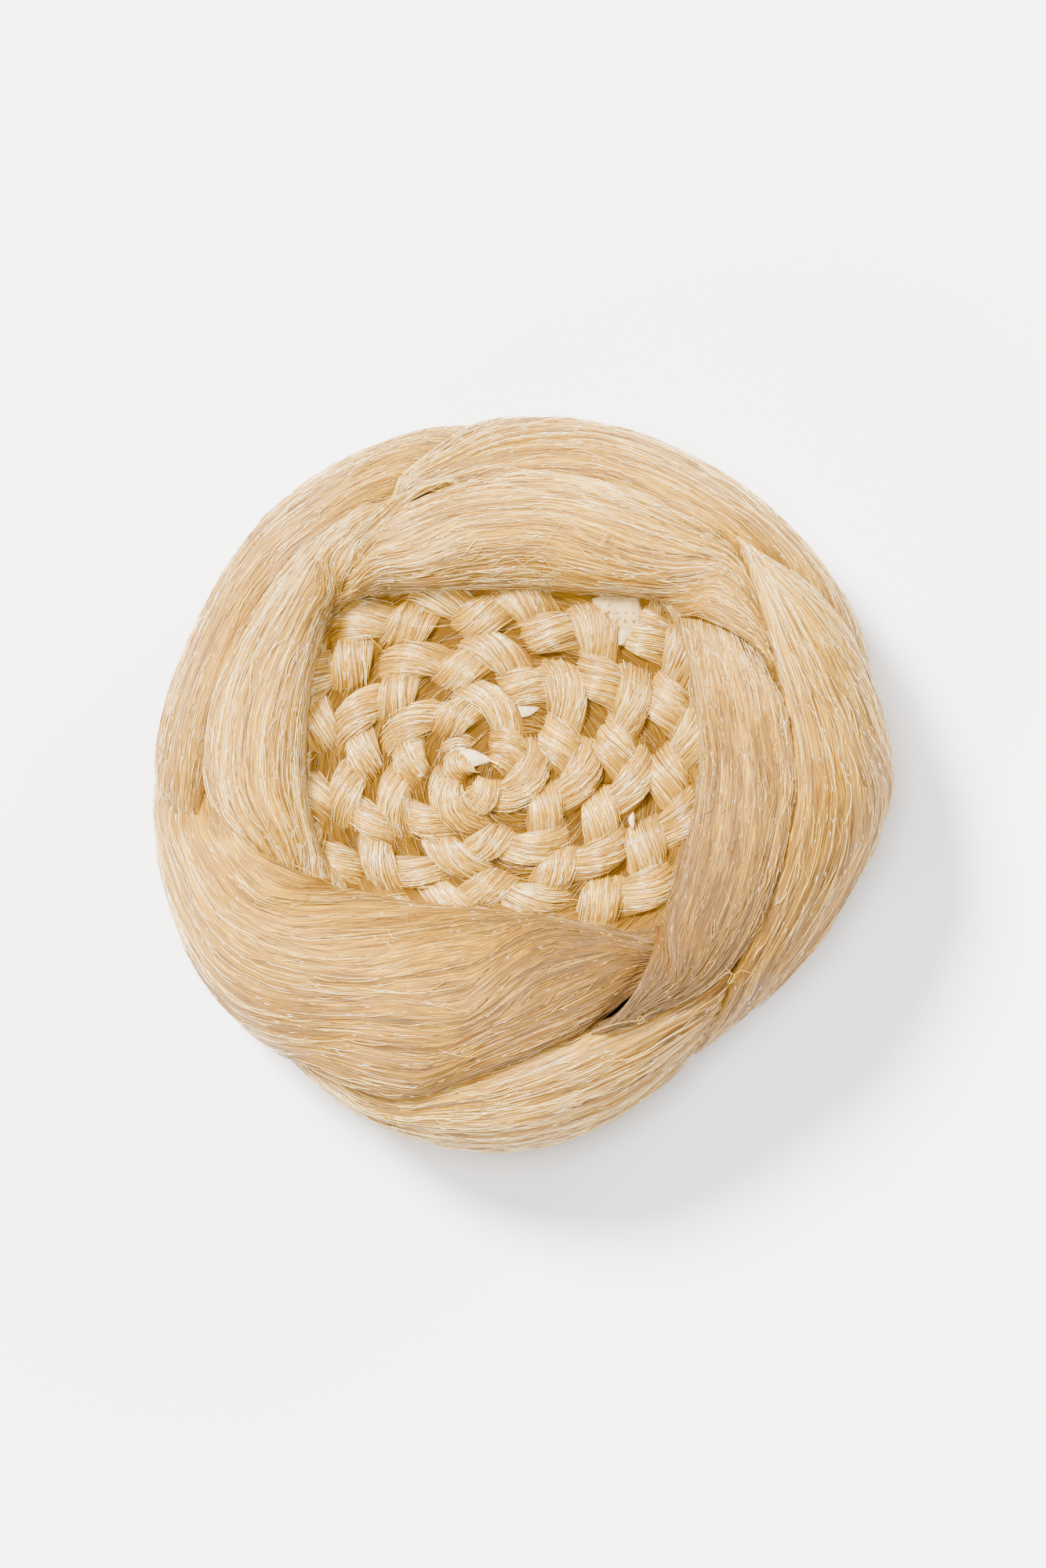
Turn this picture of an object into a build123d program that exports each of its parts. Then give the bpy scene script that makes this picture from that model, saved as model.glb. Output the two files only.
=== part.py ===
from build123d import *
import math
import os

# A coiled bun of hair that lies on the rim of its domed backing. The origin is on the surface that it
# rests on, under the middle of its outline, with +Y towards the top of the bun and +Z up out of it.
# All lengths are millimetres and all angles are degrees.

# Driving dimensions of the ring of locks
BUN_RADIUS = 60.0        # half the greatest width over the locks
BUN_HEIGHT = 46.5        # crown of the locks above the rim of the backing
WAIST_HEIGHT = 22.0      # height at which the locks stand out widest
CROWN_RISE = 5.1         # crown of the locks above their inner edge
LIP_ROOM = 1.5           # inner edge of the locks above the plait that it lies on
LOWER_ANGLE = -60.0      # how far round under the edge the locks are tucked
LIP_ANGLE = 180.0        # the inner edge of the locks
CROWN_SHARE = 0.42       # place of the crown between the inner edge and the outline
LOWER_HEIGHT = 1.0       # lower edge of the locks above the surface that the rim rests on
GROOVE_DEPTH = 1.7       # how far the grooves between the locks lie under their crests
GROOVE_GAP = 0.8         # clearance between two locks at the surface
FOOT_GAP = 0.5           # clearance between two locks where they meet the backing
FULL_SPAN = 40.0         # a lock wider than this angle has its full crest
TIP_SHARE = 0.2          # most that a clearance takes off one side of a narrow tip, as a share of its width

# Backing
HAIR_OVER_WALL = 14.0    # thickness of the locks outside the upright wall
BACKING_WALL = 1.2       # moulded non-woven cloth
SHOULDER_RADIUS = 14.0   # rounding between the wall and the top
CROWN_DROP = 1.5         # even fall of the top from its middle to the shoulder
BACKING_CENTRE = (-3.0, 2.0)
UNDER_CROWN = 0.6        # foot of the crown's middle, between the plait and the wall

# Clearances of what lies on the backing
SEAT_GAP = 0.3           # under the locks, the plait and beside the comb
CHORD_ROOM = 0.5         # more room under the locks, whose inner faces are flat facets round a curve

# Plait
PLAIT_WIDTH = 8.2        # width of the plait where nothing squeezes it
PLAIT_THICKNESS = 9.0
PLAIT_PERIOD = 36.5      # length in which each strand returns to the same side
PLAIT_PHASE = 37.0       # where the first strand is in its swing at the outer end of the coil
PLAIT_INSET = 8.0        # outer end of the coil inside the backing's wall
COIL_MIDDLE = (-0.20, 0.05)  # place of the coil's axis, as shares of its reach
PLAIT_START = 45.0       # azimuth of the outer end of the coil
PLAIT_TURNS = 3.92
TURN_GAP = 0.35          # between one turn of the coil and the next
STRAND_GAP = 1.2         # between two strands of the plait
STRAND_SWING = 0.60      # sideways swing of a strand as a share of half the plait's width
STRAND_RISE = 0.52       # rise and fall of a strand as a share of half its thickness
STRAND_ROUNDING = 2.5    # higher values fill the corners between the strands more
STATION_STEP = 1.9       # greatest distance between two sections of a strand
STATION_ANGLE = 13.0     # greatest angle between them about the coil's axis
STRAND_SIDES = 8

# Comb
COMB_SPINE_WIDTH = 3.6
COMB_END = 0.5           # spine beyond the outermost teeth
COMB_THICKNESS = 2.6
COMB_LIFT = 1.0          # height of the comb above the surface that the rim rests on
COMB_TEETH = 9
TOOTH_PITCH = 4.2
TOOTH_WIDTH = 1.5
TOOTH_THICKNESS = 1.6
TOOTH_LENGTH = 17.0      # from the inner edge of the spine to the tip

SECTION_STEP = 6.0       # azimuth between two sections of a lock
FULL_TURN = 360.0
CROWN_ANGLE = 90.0       # the crown, in angles round the section of the ring
QUARTERS = (0.25, 0.5, 0.75)

# Sizes that follow from the driving ones
LIP_HEIGHT = BUN_HEIGHT - CROWN_RISE
BACKING_HEIGHT = LIP_HEIGHT - LIP_ROOM - PLAIT_THICKNESS - SEAT_GAP
BACKING_RADIUS = BUN_RADIUS - HAIR_OVER_WALL
PLAIT_REACH = BACKING_RADIUS - PLAIT_INSET
PLAIT_CENTRE = (COIL_MIDDLE[0] * PLAIT_REACH, COIL_MIDDLE[1] * PLAIT_REACH)

# Outline of the bun from above: azimuth, reach as a share of the bun's radius
OUTLINE = [
    (0, 1.000), (14, 0.992), (28, 1.004), (45, 1.002), (60, 1.000), (80, 0.996), (98, 0.988),
    (112, 1.000), (132, 1.004), (155, 0.982), (167, 0.992), (180, 1.000), (195, 1.010), (210, 1.018),
    (223, 1.000), (232, 0.980), (245, 0.998), (260, 1.002), (270, 0.990), (282, 0.952), (292, 0.908),
    (303, 0.868), (315, 0.870), (328, 0.900), (341, 0.932), (352, 0.975),
]

# Inner edge of the locks round the plait: azimuth, distance as a share of the coil's reach
LIP = [
    (13, 0.77), (27, 0.82), (40, 0.90), (51, 0.96), (61, 0.92), (74, 0.85), (87, 0.82), (101, 0.84),
    (114, 0.90), (125, 1.00), (138, 1.09), (148, 1.03), (165, 0.95), (180, 0.92), (204, 0.88), (221, 0.74),
    (234, 0.63), (253, 0.55), (281, 0.57), (297, 0.68), (309, 0.82), (320, 0.81), (344, 0.73),
]

# How far the plait runs on under the locks: azimuth, depth as a share of the coil's reach
COVER = [
    (0, 0.08), (60, 0.065), (100, 0.065), (140, 0.065), (180, 0.14), (225, 0.21), (250, 0.27), (270, 0.27),
    (290, 0.175), (310, 0.065),
]

# Grooves between the locks: azimuth, angle round the ring's section. The angle is 0 at the widest
# point, 90 on the crown and 180 at the inner edge.
GROOVES = {
    "left_crest": [(138, 160), (132, 124), (126, 97), (120, 80), (114, 71), (108, 66), (102, 62)],
    "top_rim": [(114, 61), (108, 59), (102, 57), (90, 58), (78, 61), (66, 63), (54, 67), (48, 65)],
    "top_tail": [(114, 56), (110, 50), (104, 34), (98, 3), (90, -33), (78, -55)],
    "left_rim": [(186, 58), (176, 62), (169, 61), (160, 61), (151, 65), (141, 71), (130, 71), (120, 65),
                 (114, 61)],
    "right_tail": [(48, 60), (40, 48), (34, 36), (26, 22), (20, 12), (14, 0), (8, -30), (0, -55)],
    "right_crest": [(48, 65), (42, 70), (34, 77), (24, 80)],
    "top_crest": [(54, 160), (48, 143), (42, 120), (33, 97), (24, 85)],
    "right_rim": [(24, 82), (12, 81), (2, 80), (-9, 78), (-19, 72), (-28, 68), (-36, 64), (-42, 61)],
    "bottom_tail": [(-42, 58), (-48, 40), (-52, 25), (-57, 4), (-62, -22), (-72, -55)],
    "bottom_start": [(-42, 63), (-52, 66), (-62, 68), (-72, 72)],
    "bottom_crest": [(-42, 160), (-50, 139), (-59, 99), (-67, 84), (-72, 77)],
    "bottom_rim": [(-72, 75), (-85, 71), (-94, 65), (-101, 57), (-108, 43), (-112, 35), (-119, 27),
                   (-129, 10), (-137, -25), (-144, -55)],
    "left_foot": [(-150, 150), (-156, 130), (-163, 105), (-168, 90)],
    "left_tail": [(-174, 40), (-179, 4), (-184, -20), (-192, -55)],
}
LOWER = "lower_edge"
INNER = "inner_edge"

# Locks: name, first azimuth, last azimuth, grooves on the outer side, grooves on the inner side.
# Where two grooves of a side meet, the one named first is followed.
LOCKS = [
    ("lock_top_inner", 138, 24, ["left_crest", "right_crest", "top_rim"], ["top_crest", INNER]),
    ("lock_right_inner", 54, -72, ["top_crest", "bottom_start", "right_rim"], ["bottom_crest", INNER]),
    ("lock_bottom_inner", -42, -192, ["bottom_crest", "bottom_rim", LOWER],
     ["left_foot", "left_tail", INNER]),
    ("lock_left_inner", 210, 102, ["top_rim", "left_rim", "left_foot"], ["left_crest", INNER]),
    ("lock_top_outer", 114, 0, ["top_tail", LOWER], ["right_tail", "top_rim"]),
    ("lock_right_outer", 48, -72, ["right_tail", LOWER], ["right_crest", "bottom_tail", "right_rim"]),
    ("lock_bottom_outer", -42, -144, ["bottom_tail", LOWER], ["bottom_start", "bottom_rim"]),
    ("lock_left_outer", 186, 78, ["left_tail", LOWER], ["top_tail", "left_rim"]),
]

# Coil of the plait: turns from its outer end, radius as a share of the coil's reach
COIL = [
    (0.00, 1.000), (0.11, 0.860), (0.25, 0.800), (0.37, 0.725), (0.50, 0.725), (0.62, 0.715),
    (0.75, 0.755), (0.87, 0.690), (1.00, 0.730), (1.11, 0.640), (1.25, 0.580), (1.37, 0.520),
    (1.50, 0.530), (1.62, 0.530), (1.75, 0.505), (1.87, 0.480), (2.00, 0.450), (2.11, 0.400),
    (2.25, 0.365), (2.37, 0.345), (2.50, 0.330), (2.62, 0.322), (2.75, 0.300), (2.87, 0.265),
    (3.00, 0.220), (3.11, 0.180), (3.25, 0.160), (3.45, 0.145), (3.70, 0.120),
    (3.95, 0.085),
]


def smooth(rows, x):
    """Value at x on a smooth curve through rows of (place, value)."""
    rows = sorted(rows)
    last = len(rows) - 1
    i = max(j for j in range(last) if rows[j][0] <= x or j == 0)
    x0, y0 = rows[i]
    x1, y1 = rows[i + 1]
    slope = (y1 - y0) / (x1 - x0)
    before = (y1 - rows[i - 1][1]) / (x1 - rows[i - 1][0]) if i > 0 else slope
    after = (rows[i + 2][1] - y0) / (rows[i + 2][0] - x0) if i + 1 < last else slope
    t = (x - x0) / (x1 - x0)
    lift = (x1 - x0) * t * (1 - t)
    return y0 + (y1 - y0) * t + lift * ((before - slope) * (1 - t) + (slope - after) * t)


def round_table(rows, azimuth):
    """Value at an azimuth of a table that closes on itself."""
    azimuth = azimuth % FULL_TURN
    rows = [(a + turn, v) for turn in (-FULL_TURN, 0, FULL_TURN) for a, v in rows]
    return smooth(rows, azimuth)


def lip_radius(azimuth):
    return PLAIT_REACH * round_table(LIP, azimuth)


def cover_radius(azimuth):
    return lip_radius(azimuth) + PLAIT_REACH * round_table(COVER, azimuth)


def off_axis(azimuth, radius, centre):
    """Distance from an upright axis of a point given by azimuth and radius about the origin."""
    a = math.radians(azimuth)
    return math.hypot(radius * math.cos(a) - centre[0], radius * math.sin(a) - centre[1])


def dome_height(distance, room):
    """Height of the backing's outside, kept clear by room, at a distance from its axis."""
    corner = BACKING_RADIUS - SHOULDER_RADIUS
    shoulder_height = BACKING_HEIGHT - CROWN_DROP - SHOULDER_RADIUS
    if distance <= corner:
        return BACKING_HEIGHT + room - CROWN_DROP * distance / corner
    arm = SHOULDER_RADIUS + room
    return shoulder_height + math.sqrt(max(arm ** 2 - (distance - corner) ** 2, 0.0))


def wall_radius(azimuth, room):
    """Radius about the origin at which the backing's wall, kept clear by room, stands."""
    a = math.radians(azimuth)
    along = BACKING_CENTRE[0] * math.cos(a) + BACKING_CENTRE[1] * math.sin(a)
    across = BACKING_CENTRE[0] * math.sin(a) - BACKING_CENTRE[1] * math.cos(a)
    return along + math.sqrt((BACKING_RADIUS + room) ** 2 - across ** 2)


def skin(azimuth, around, sink):
    """Radius and height of the ring's surface, sunk by a depth, at an angle round its section."""
    lip = lip_radius(azimuth)
    reach = BUN_RADIUS * round_table(OUTLINE, azimuth) - sink
    top = BUN_HEIGHT - sink
    crown = lip + CROWN_SHARE * (reach - lip)
    c = math.cos(math.radians(around))
    s = math.sin(math.radians(around))
    if around > CROWN_ANGLE:
        return crown + (crown - lip) * c, LIP_HEIGHT + (top - LIP_HEIGHT) * s
    undercut = (LOWER_HEIGHT - WAIST_HEIGHT) / math.sin(math.radians(LOWER_ANGLE))
    rise = top - WAIST_HEIGHT if around > 0 else undercut
    return crown + (reach - crown) * c, WAIST_HEIGHT + rise * s


def foot(azimuth, around):
    """Radius and height of a lock's inner face on the backing, at an angle round its section."""
    room = SEAT_GAP + CHORD_ROOM
    wall = wall_radius(azimuth, room)
    heel = cover_radius(azimuth) + FOOT_GAP
    under_crown = heel + UNDER_CROWN * (wall - heel)
    shoulder_height = BACKING_HEIGHT - CROWN_DROP - SHOULDER_RADIUS
    arm = SHOULDER_RADIUS + room
    if around <= 0:
        share = around / LOWER_ANGLE
        return wall, shoulder_height + (LOWER_HEIGHT - shoulder_height) * share
    if around <= CROWN_ANGLE:
        drop = min(max((wall - under_crown) / arm, 0.0), 2.0)
        turn = math.acos(1 - drop) * around / CROWN_ANGLE
        radius = wall - arm * (1 - math.cos(turn))
    else:
        inwards = (around - CROWN_ANGLE) / (LIP_ANGLE - CROWN_ANGLE)
        radius = under_crown + (heel - under_crown) * inwards
    return radius, dome_height(off_axis(azimuth, radius, BACKING_CENTRE), room)


def knee(azimuth, around):
    """Middle of a lock's side face, above the plait where the plait runs under the lock."""
    level = BACKING_HEIGHT + PLAIT_THICKNESS + 2 * SEAT_GAP
    flat = min(around, CROWN_ANGLE)
    r1, z1 = skin(azimuth, flat, GROOVE_DEPTH)
    r0, z0 = foot(azimuth, flat)
    top = skin(azimuth, CROWN_ANGLE, GROOVE_DEPTH)[1]
    seat = foot(azimuth, CROWN_ANGLE)[1]
    share = (level - seat) / (top - seat)
    radius = r0 + (r1 - r0) * share
    if around <= CROWN_ANGLE:
        return radius, z0 + (z1 - z0) * share
    inwards = (around - CROWN_ANGLE) / (LIP_ANGLE - CROWN_ANGLE)
    return radius + (cover_radius(azimuth) - radius) * inwards, level


def shifted(curve, azimuth, around, other, distance):
    """Point of a section curve moved along it towards the lock's other side by a distance."""
    if around in (LOWER_ANGLE, LIP_ANGLE):
        return curve(azimuth, around)
    degree = math.copysign(1.0, other - around)
    r1, z1 = curve(azimuth, around + degree)
    r0, z0 = curve(azimuth, around)
    degrees = min(distance / math.hypot(r1 - r0, z1 - z0), TIP_SHARE * abs(other - around))
    return curve(azimuth, around + degree * degrees)


def sunk_skin(azimuth, around):
    return skin(azimuth, around, GROOVE_DEPTH)


def side_angle(names, azimuth):
    """Angle round the section of the first named groove that passes this azimuth."""
    for name in names:
        if name == LOWER:
            return LOWER_ANGLE
        if name == INNER:
            return LIP_ANGLE
        rows = GROOVES[name]
        low = min(a for a, _ in rows)
        high = max(a for a, _ in rows)
        for place in (azimuth - FULL_TURN, azimuth, azimuth + FULL_TURN):
            if low <= place <= high:
                return smooth(rows, place)
    raise ValueError(f"no groove at azimuth {azimuth}")


def lock_section(azimuth, outer_side, inner_side):
    """Closed section of a lock in the upright half-plane at an azimuth: two arcs over, lines under."""
    low = side_angle(outer_side, azimuth)
    high = side_angle(inner_side, azimuth)
    fullness = min(1.0, (high - low) / FULL_SPAN)

    def crest(share):
        swell = fullness * 4 * share * (1 - share)
        return skin(azimuth, low + (high - low) * share, GROOVE_DEPTH * (1 - swell))

    def sides(curve, gap):
        return shifted(curve, azimuth, low, high, gap / 2), shifted(curve, azimuth, high, low, gap / 2)

    starts, stops = zip(sides(sunk_skin, GROOVE_GAP), sides(knee, GROOVE_GAP), sides(foot, FOOT_GAP))
    over = [starts[0], *(crest(share) for share in QUARTERS), stops[0]]
    under = [foot(azimuth, high + (low - high) * share) for share in QUARTERS]
    a = math.radians(azimuth)
    plane = Plane(origin=(0, 0, 0), x_dir=(math.cos(a), math.sin(a), 0), z_dir=(math.sin(a), -math.cos(a), 0))
    p = [plane.from_local_coords(Vector(r, z, 0)) for r, z in over]
    path = [plane.from_local_coords(Vector(r, z, 0)) for r, z in [*stops, *under, *reversed(starts)]]
    edges = [Edge.make_three_point_arc(p[0], p[1], p[2]), Edge.make_three_point_arc(p[2], p[3], p[4])]
    edges += [Edge.make_line(a, b) for a, b in zip(path, path[1:])]
    return Wire(edges)


def make_lock(first, last, outer_side, inner_side):
    """A lock of hair, ruled through its sections from one azimuth down to another."""
    count = round(abs(first - last) / SECTION_STEP)
    stations = [first + (last - first) * i / count for i in range(count + 1)]
    return Solid.make_loft([lock_section(a, outer_side, inner_side) for a in stations], ruled=True)


def dome_solid(inset):
    """The backing's shape filled in, made smaller all round by an inset."""
    corner = BACKING_RADIUS - SHOULDER_RADIUS
    arm = SHOULDER_RADIUS - inset
    shoulder_height = BACKING_HEIGHT - CROWN_DROP - SHOULDER_RADIUS
    slant = math.sqrt(0.5)
    top = BACKING_HEIGHT - inset
    points = [
        (BACKING_RADIUS - inset, 0), (BACKING_RADIUS - inset, shoulder_height),
        (corner + arm * slant, shoulder_height + arm * slant), (corner, shoulder_height + arm),
        (0, top),
    ]
    q = [Vector(r, 0, z) for r, z in points]
    axis = Vector(0, 0, 0)
    outline = Wire([
        Edge.make_line(axis, q[0]), Edge.make_line(q[0], q[1]), Edge.make_three_point_arc(q[1], q[2], q[3]),
        Edge.make_line(q[3], q[4]), Edge.make_line(q[4], axis),
    ])
    return revolve(Face(outline), Axis.Z, FULL_TURN)


def make_backing():
    """The thin domed cup, open at its rim."""
    shell = dome_solid(0) - dome_solid(BACKING_WALL)
    return Pos(BACKING_CENTRE[0], BACKING_CENTRE[1], 0) * shell


def make_comb():
    """One plain comb inside the rim, with its teeth pointing in across the cup."""
    outside = BACKING_RADIUS - BACKING_WALL - SEAT_GAP
    inside = outside - COMB_SPINE_WIDTH
    spine = inside + COMB_SPINE_WIDTH / 2
    last_tooth = (COMB_TEETH - 1) / 2 * TOOTH_PITCH
    half = math.asin((last_tooth + TOOTH_WIDTH / 2 + COMB_END) / spine)

    def at(radius, angle):
        return Vector(radius * math.sin(angle), radius * math.cos(angle), 0)

    outline = Wire([
        Edge.make_three_point_arc(at(outside, -half), at(outside, 0), at(outside, half)),
        Edge.make_line(at(outside, half), at(inside, half)),
        Edge.make_three_point_arc(at(inside, half), at(inside, 0), at(inside, -half)),
        Edge.make_line(at(inside, -half), at(outside, -half)),
    ])
    comb = extrude(Face(outline), COMB_THICKNESS, dir=(0, 0, 1))
    for i in range(COMB_TEETH):
        x = i * TOOTH_PITCH - last_tooth
        root = math.sqrt(spine ** 2 - x ** 2)
        tip = inside - TOOTH_LENGTH
        tooth = Box(TOOTH_WIDTH, root - tip, TOOTH_THICKNESS)
        comb += Pos(x, (root + tip) / 2, COMB_THICKNESS / 2) * tooth
    return Pos(BACKING_CENTRE[0], BACKING_CENTRE[1], COMB_LIFT) * comb


def coil_radius(turns):
    return PLAIT_REACH * smooth(COIL, turns)


def plait_half_width(turns):
    """Half the plait's width, less where the turns beside it leave less room."""
    here = coil_radius(turns)
    limits = [PLAIT_WIDTH / 2, here - TURN_GAP]
    if turns >= 1:
        limits.append((coil_radius(turns - 1) - here - TURN_GAP) / 2)
    if turns <= PLAIT_TURNS - 1:
        limits.append((here - coil_radius(turns + 1) - TURN_GAP) / 2)
    return min(limits)


def coil_stations():
    """Rows of (turns, length along the plait), closer together where the coil is tight."""
    rows = [(0.0, 0.0)]
    turns = 0.0
    length = 0.0
    while True:
        around = 2 * math.pi * coil_radius(turns)
        step = min(STATION_STEP / around, STATION_ANGLE / FULL_TURN)
        if turns + step > PLAIT_TURNS:
            return rows
        turns += step
        length += step * around
        rows.append((turns, length))


def strand_place(phase, half_width, half_height):
    """Middle of a strand in the plait's section. From each edge it crosses over the top to the middle."""
    a = math.radians(phase)
    return STRAND_SWING * half_width * math.sin(a), -STRAND_RISE * half_height * math.sin(2 * a)


def cell_reach(centre, others, direction, half_width, half_height):
    """How far a strand reaches in a direction, within the plait's oval outline and half way to the others."""
    x, z = centre
    u, w = direction
    a = (u / half_width) ** 2 + (w / half_height) ** 2
    b = 2 * (x * u / half_width ** 2 + z * w / half_height ** 2)
    c = (x / half_width) ** 2 + (z / half_height) ** 2 - 1
    limits = [(-b + math.sqrt(b * b - 4 * a * c)) / (2 * a)]
    for ox, oz in others:
        dx = ox - x
        dz = oz - z
        away = math.hypot(dx, dz)
        towards = (u * dx + w * dz) / away
        if towards > 0:
            limits.append((away - STRAND_GAP) / 2 / towards)
    return sum(limit ** -STRAND_ROUNDING for limit in limits) ** (-1 / STRAND_ROUNDING)


def strand_section(turns, length, number):
    """Corners of one strand's section, in the upright half-plane through the coil's axis."""
    half_width = plait_half_width(turns)
    half_height = PLAIT_THICKNESS / 2
    phases = [PLAIT_PHASE + FULL_TURN * (length / PLAIT_PERIOD + k / 3) for k in range(3)]
    places = [strand_place(phase, half_width, half_height) for phase in phases]
    centre = places[number]
    others = [place for k, place in enumerate(places) if k != number]
    azimuth = math.radians(PLAIT_START - FULL_TURN * turns)
    x_dir = math.cos(azimuth)
    y_dir = math.sin(azimuth)
    radius = coil_radius(turns)
    x0 = PLAIT_CENTRE[0] + radius * x_dir - BACKING_CENTRE[0]
    y0 = PLAIT_CENTRE[1] + radius * y_dir - BACKING_CENTRE[1]
    middle = dome_height(math.hypot(x0, y0), SEAT_GAP) + half_height
    corners = []
    for k in range(STRAND_SIDES):
        a = 2 * math.pi * (k + 0.5) / STRAND_SIDES
        reach = cell_reach(centre, others, (math.cos(a), math.sin(a)), half_width, half_height)
        r = radius + centre[0] + reach * math.cos(a)
        up = middle + centre[1] + reach * math.sin(a)
        corners.append(Vector(PLAIT_CENTRE[0] + r * x_dir, PLAIT_CENTRE[1] + r * y_dir, up))
    return corners


def make_strand(number):
    """One strand of the plait, a closed solid of flat facets through its sections."""
    rings = [strand_section(turns, length, number) for turns, length in coil_stations()]
    faces = [Face(Wire.make_polygon([rings[0][0], rings[0][k], rings[0][k + 1]]))
             for k in range(1, STRAND_SIDES - 1)]
    faces += [Face(Wire.make_polygon([rings[-1][0], rings[-1][k], rings[-1][k + 1]]))
              for k in range(1, STRAND_SIDES - 1)]
    for a, b in zip(rings, rings[1:]):
        for k in range(STRAND_SIDES):
            n = (k + 1) % STRAND_SIDES
            faces.append(Face(Wire.make_polygon([a[k], a[n], b[n]])))
            faces.append(Face(Wire.make_polygon([a[k], b[n], b[k]])))
    return Solid(Shell(faces))


def main():
    os.makedirs("parts", exist_ok=True)
    parts = {"backing": make_backing(), "comb": make_comb()}
    for name, first, last, outer_side, inner_side in LOCKS:
        parts[name] = make_lock(first, last, outer_side, inner_side)
    for number in range(3):
        parts[f"plait_strand_{number + 1}"] = make_strand(number)
    for name, shape in parts.items():
        export_step(shape, f"parts/{name}.step")


main()
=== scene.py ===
import math

import bpy
import numpy as np
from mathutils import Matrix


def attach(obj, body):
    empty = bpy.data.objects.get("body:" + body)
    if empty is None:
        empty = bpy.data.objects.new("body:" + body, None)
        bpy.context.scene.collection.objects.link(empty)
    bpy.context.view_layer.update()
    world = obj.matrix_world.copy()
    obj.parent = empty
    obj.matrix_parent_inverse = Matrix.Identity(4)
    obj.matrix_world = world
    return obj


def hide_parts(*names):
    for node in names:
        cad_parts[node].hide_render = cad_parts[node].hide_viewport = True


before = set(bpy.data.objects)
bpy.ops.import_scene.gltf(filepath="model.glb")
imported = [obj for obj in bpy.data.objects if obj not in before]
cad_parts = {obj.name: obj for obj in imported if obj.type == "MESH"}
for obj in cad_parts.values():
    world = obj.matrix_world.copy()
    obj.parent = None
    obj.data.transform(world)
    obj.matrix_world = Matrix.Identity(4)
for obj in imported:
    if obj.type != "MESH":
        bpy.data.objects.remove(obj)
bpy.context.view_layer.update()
random = np.random.default_rng(29)

# Sizes are in millimetres until a mesh is made. Azimuths and angles round the ring are in degrees.
MM = 0.001
FULL_TURN = 360.0

# The ring of locks, the backing and the plait, as their solids have them
BUN_RADIUS = 60.0
BUN_HEIGHT = 46.5
WAIST_HEIGHT = 22.0
LIP_HEIGHT = 41.4
LOWER_ANGLE = -60.0
LIP_ANGLE = 180.0
CROWN_SHARE = 0.42
LOWER_HEIGHT = 1.0
SECTION_STEP = 6.0
UNDERCUT = (LOWER_HEIGHT - WAIST_HEIGHT) / math.sin(math.radians(LOWER_ANGLE))
BACKING_RADIUS = 46.0
BACKING_HEIGHT = 30.6
SHOULDER_RADIUS = 14.0
CROWN_DROP = 1.5
BACKING_CENTRE = (-3.0, 2.0)
SEAT_GAP = 0.3
PLAIT_THICKNESS = 9.0
PLAIT_PERIOD = 36.5
PLAIT_PHASE = 37.0
PLAIT_REACH = 38.0
PLAIT_CENTRE = (-7.6, 1.9)
PLAIT_START = 45.0
PLAIT_TURNS = 3.92
PLAIT_TOP = 39.3

# The photograph: size of a pixel at the bun, the pixel over the origin, and the whole width in pixels
PIXEL = 0.12766
MIDDLE_PIXEL = (668.0, 1000.0)
IMAGE_WIDTH = 1334

# Outline of the locks: azimuth, share of the bun's radius
OUTLINE = [
    (0, 1.000), (14, 0.992), (28, 1.004), (45, 1.002), (60, 1.000), (80, 0.996), (98, 0.988),
    (112, 1.000), (132, 1.004), (155, 0.982), (167, 0.992), (180, 1.000), (195, 1.010), (210, 1.018),
    (223, 1.000), (232, 0.980), (245, 0.998), (260, 1.002), (270, 0.990), (282, 0.952), (292, 0.908),
    (303, 0.868), (315, 0.870), (328, 0.900), (341, 0.932), (352, 0.975),
]
# Inner edge of the locks, and how far they lie over the plait: azimuth, share of the plait's reach
LIP = [
    (13, 0.77), (27, 0.82), (40, 0.90), (51, 0.96), (61, 0.92), (74, 0.85), (87, 0.82), (101, 0.84),
    (114, 0.90), (125, 1.00), (138, 1.09), (148, 1.03), (165, 0.95), (180, 0.92), (204, 0.88), (221, 0.74),
    (234, 0.63), (253, 0.55), (281, 0.57), (297, 0.68), (309, 0.82), (320, 0.81), (344, 0.73),
]
COVER = [
    (0, 0.08), (60, 0.065), (100, 0.065), (140, 0.065), (180, 0.14), (225, 0.21), (250, 0.27), (270, 0.27),
    (290, 0.175), (310, 0.065),
]
# Middle of the coiled plait: turns from its outer end, share of its reach
COIL = [
    (0.00, 1.000), (0.11, 0.860), (0.25, 0.800), (0.37, 0.725), (0.50, 0.725), (0.62, 0.715),
    (0.75, 0.755), (0.87, 0.690), (1.00, 0.730), (1.11, 0.640), (1.25, 0.580), (1.37, 0.520),
    (1.50, 0.530), (1.62, 0.530), (1.75, 0.505), (1.87, 0.480), (2.00, 0.450), (2.11, 0.400),
    (2.25, 0.365), (2.37, 0.345), (2.50, 0.330), (2.62, 0.322), (2.75, 0.300), (2.87, 0.265),
    (3.00, 0.220), (3.11, 0.180), (3.25, 0.160), (3.45, 0.145), (3.70, 0.120), (3.95, 0.085),
]

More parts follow.
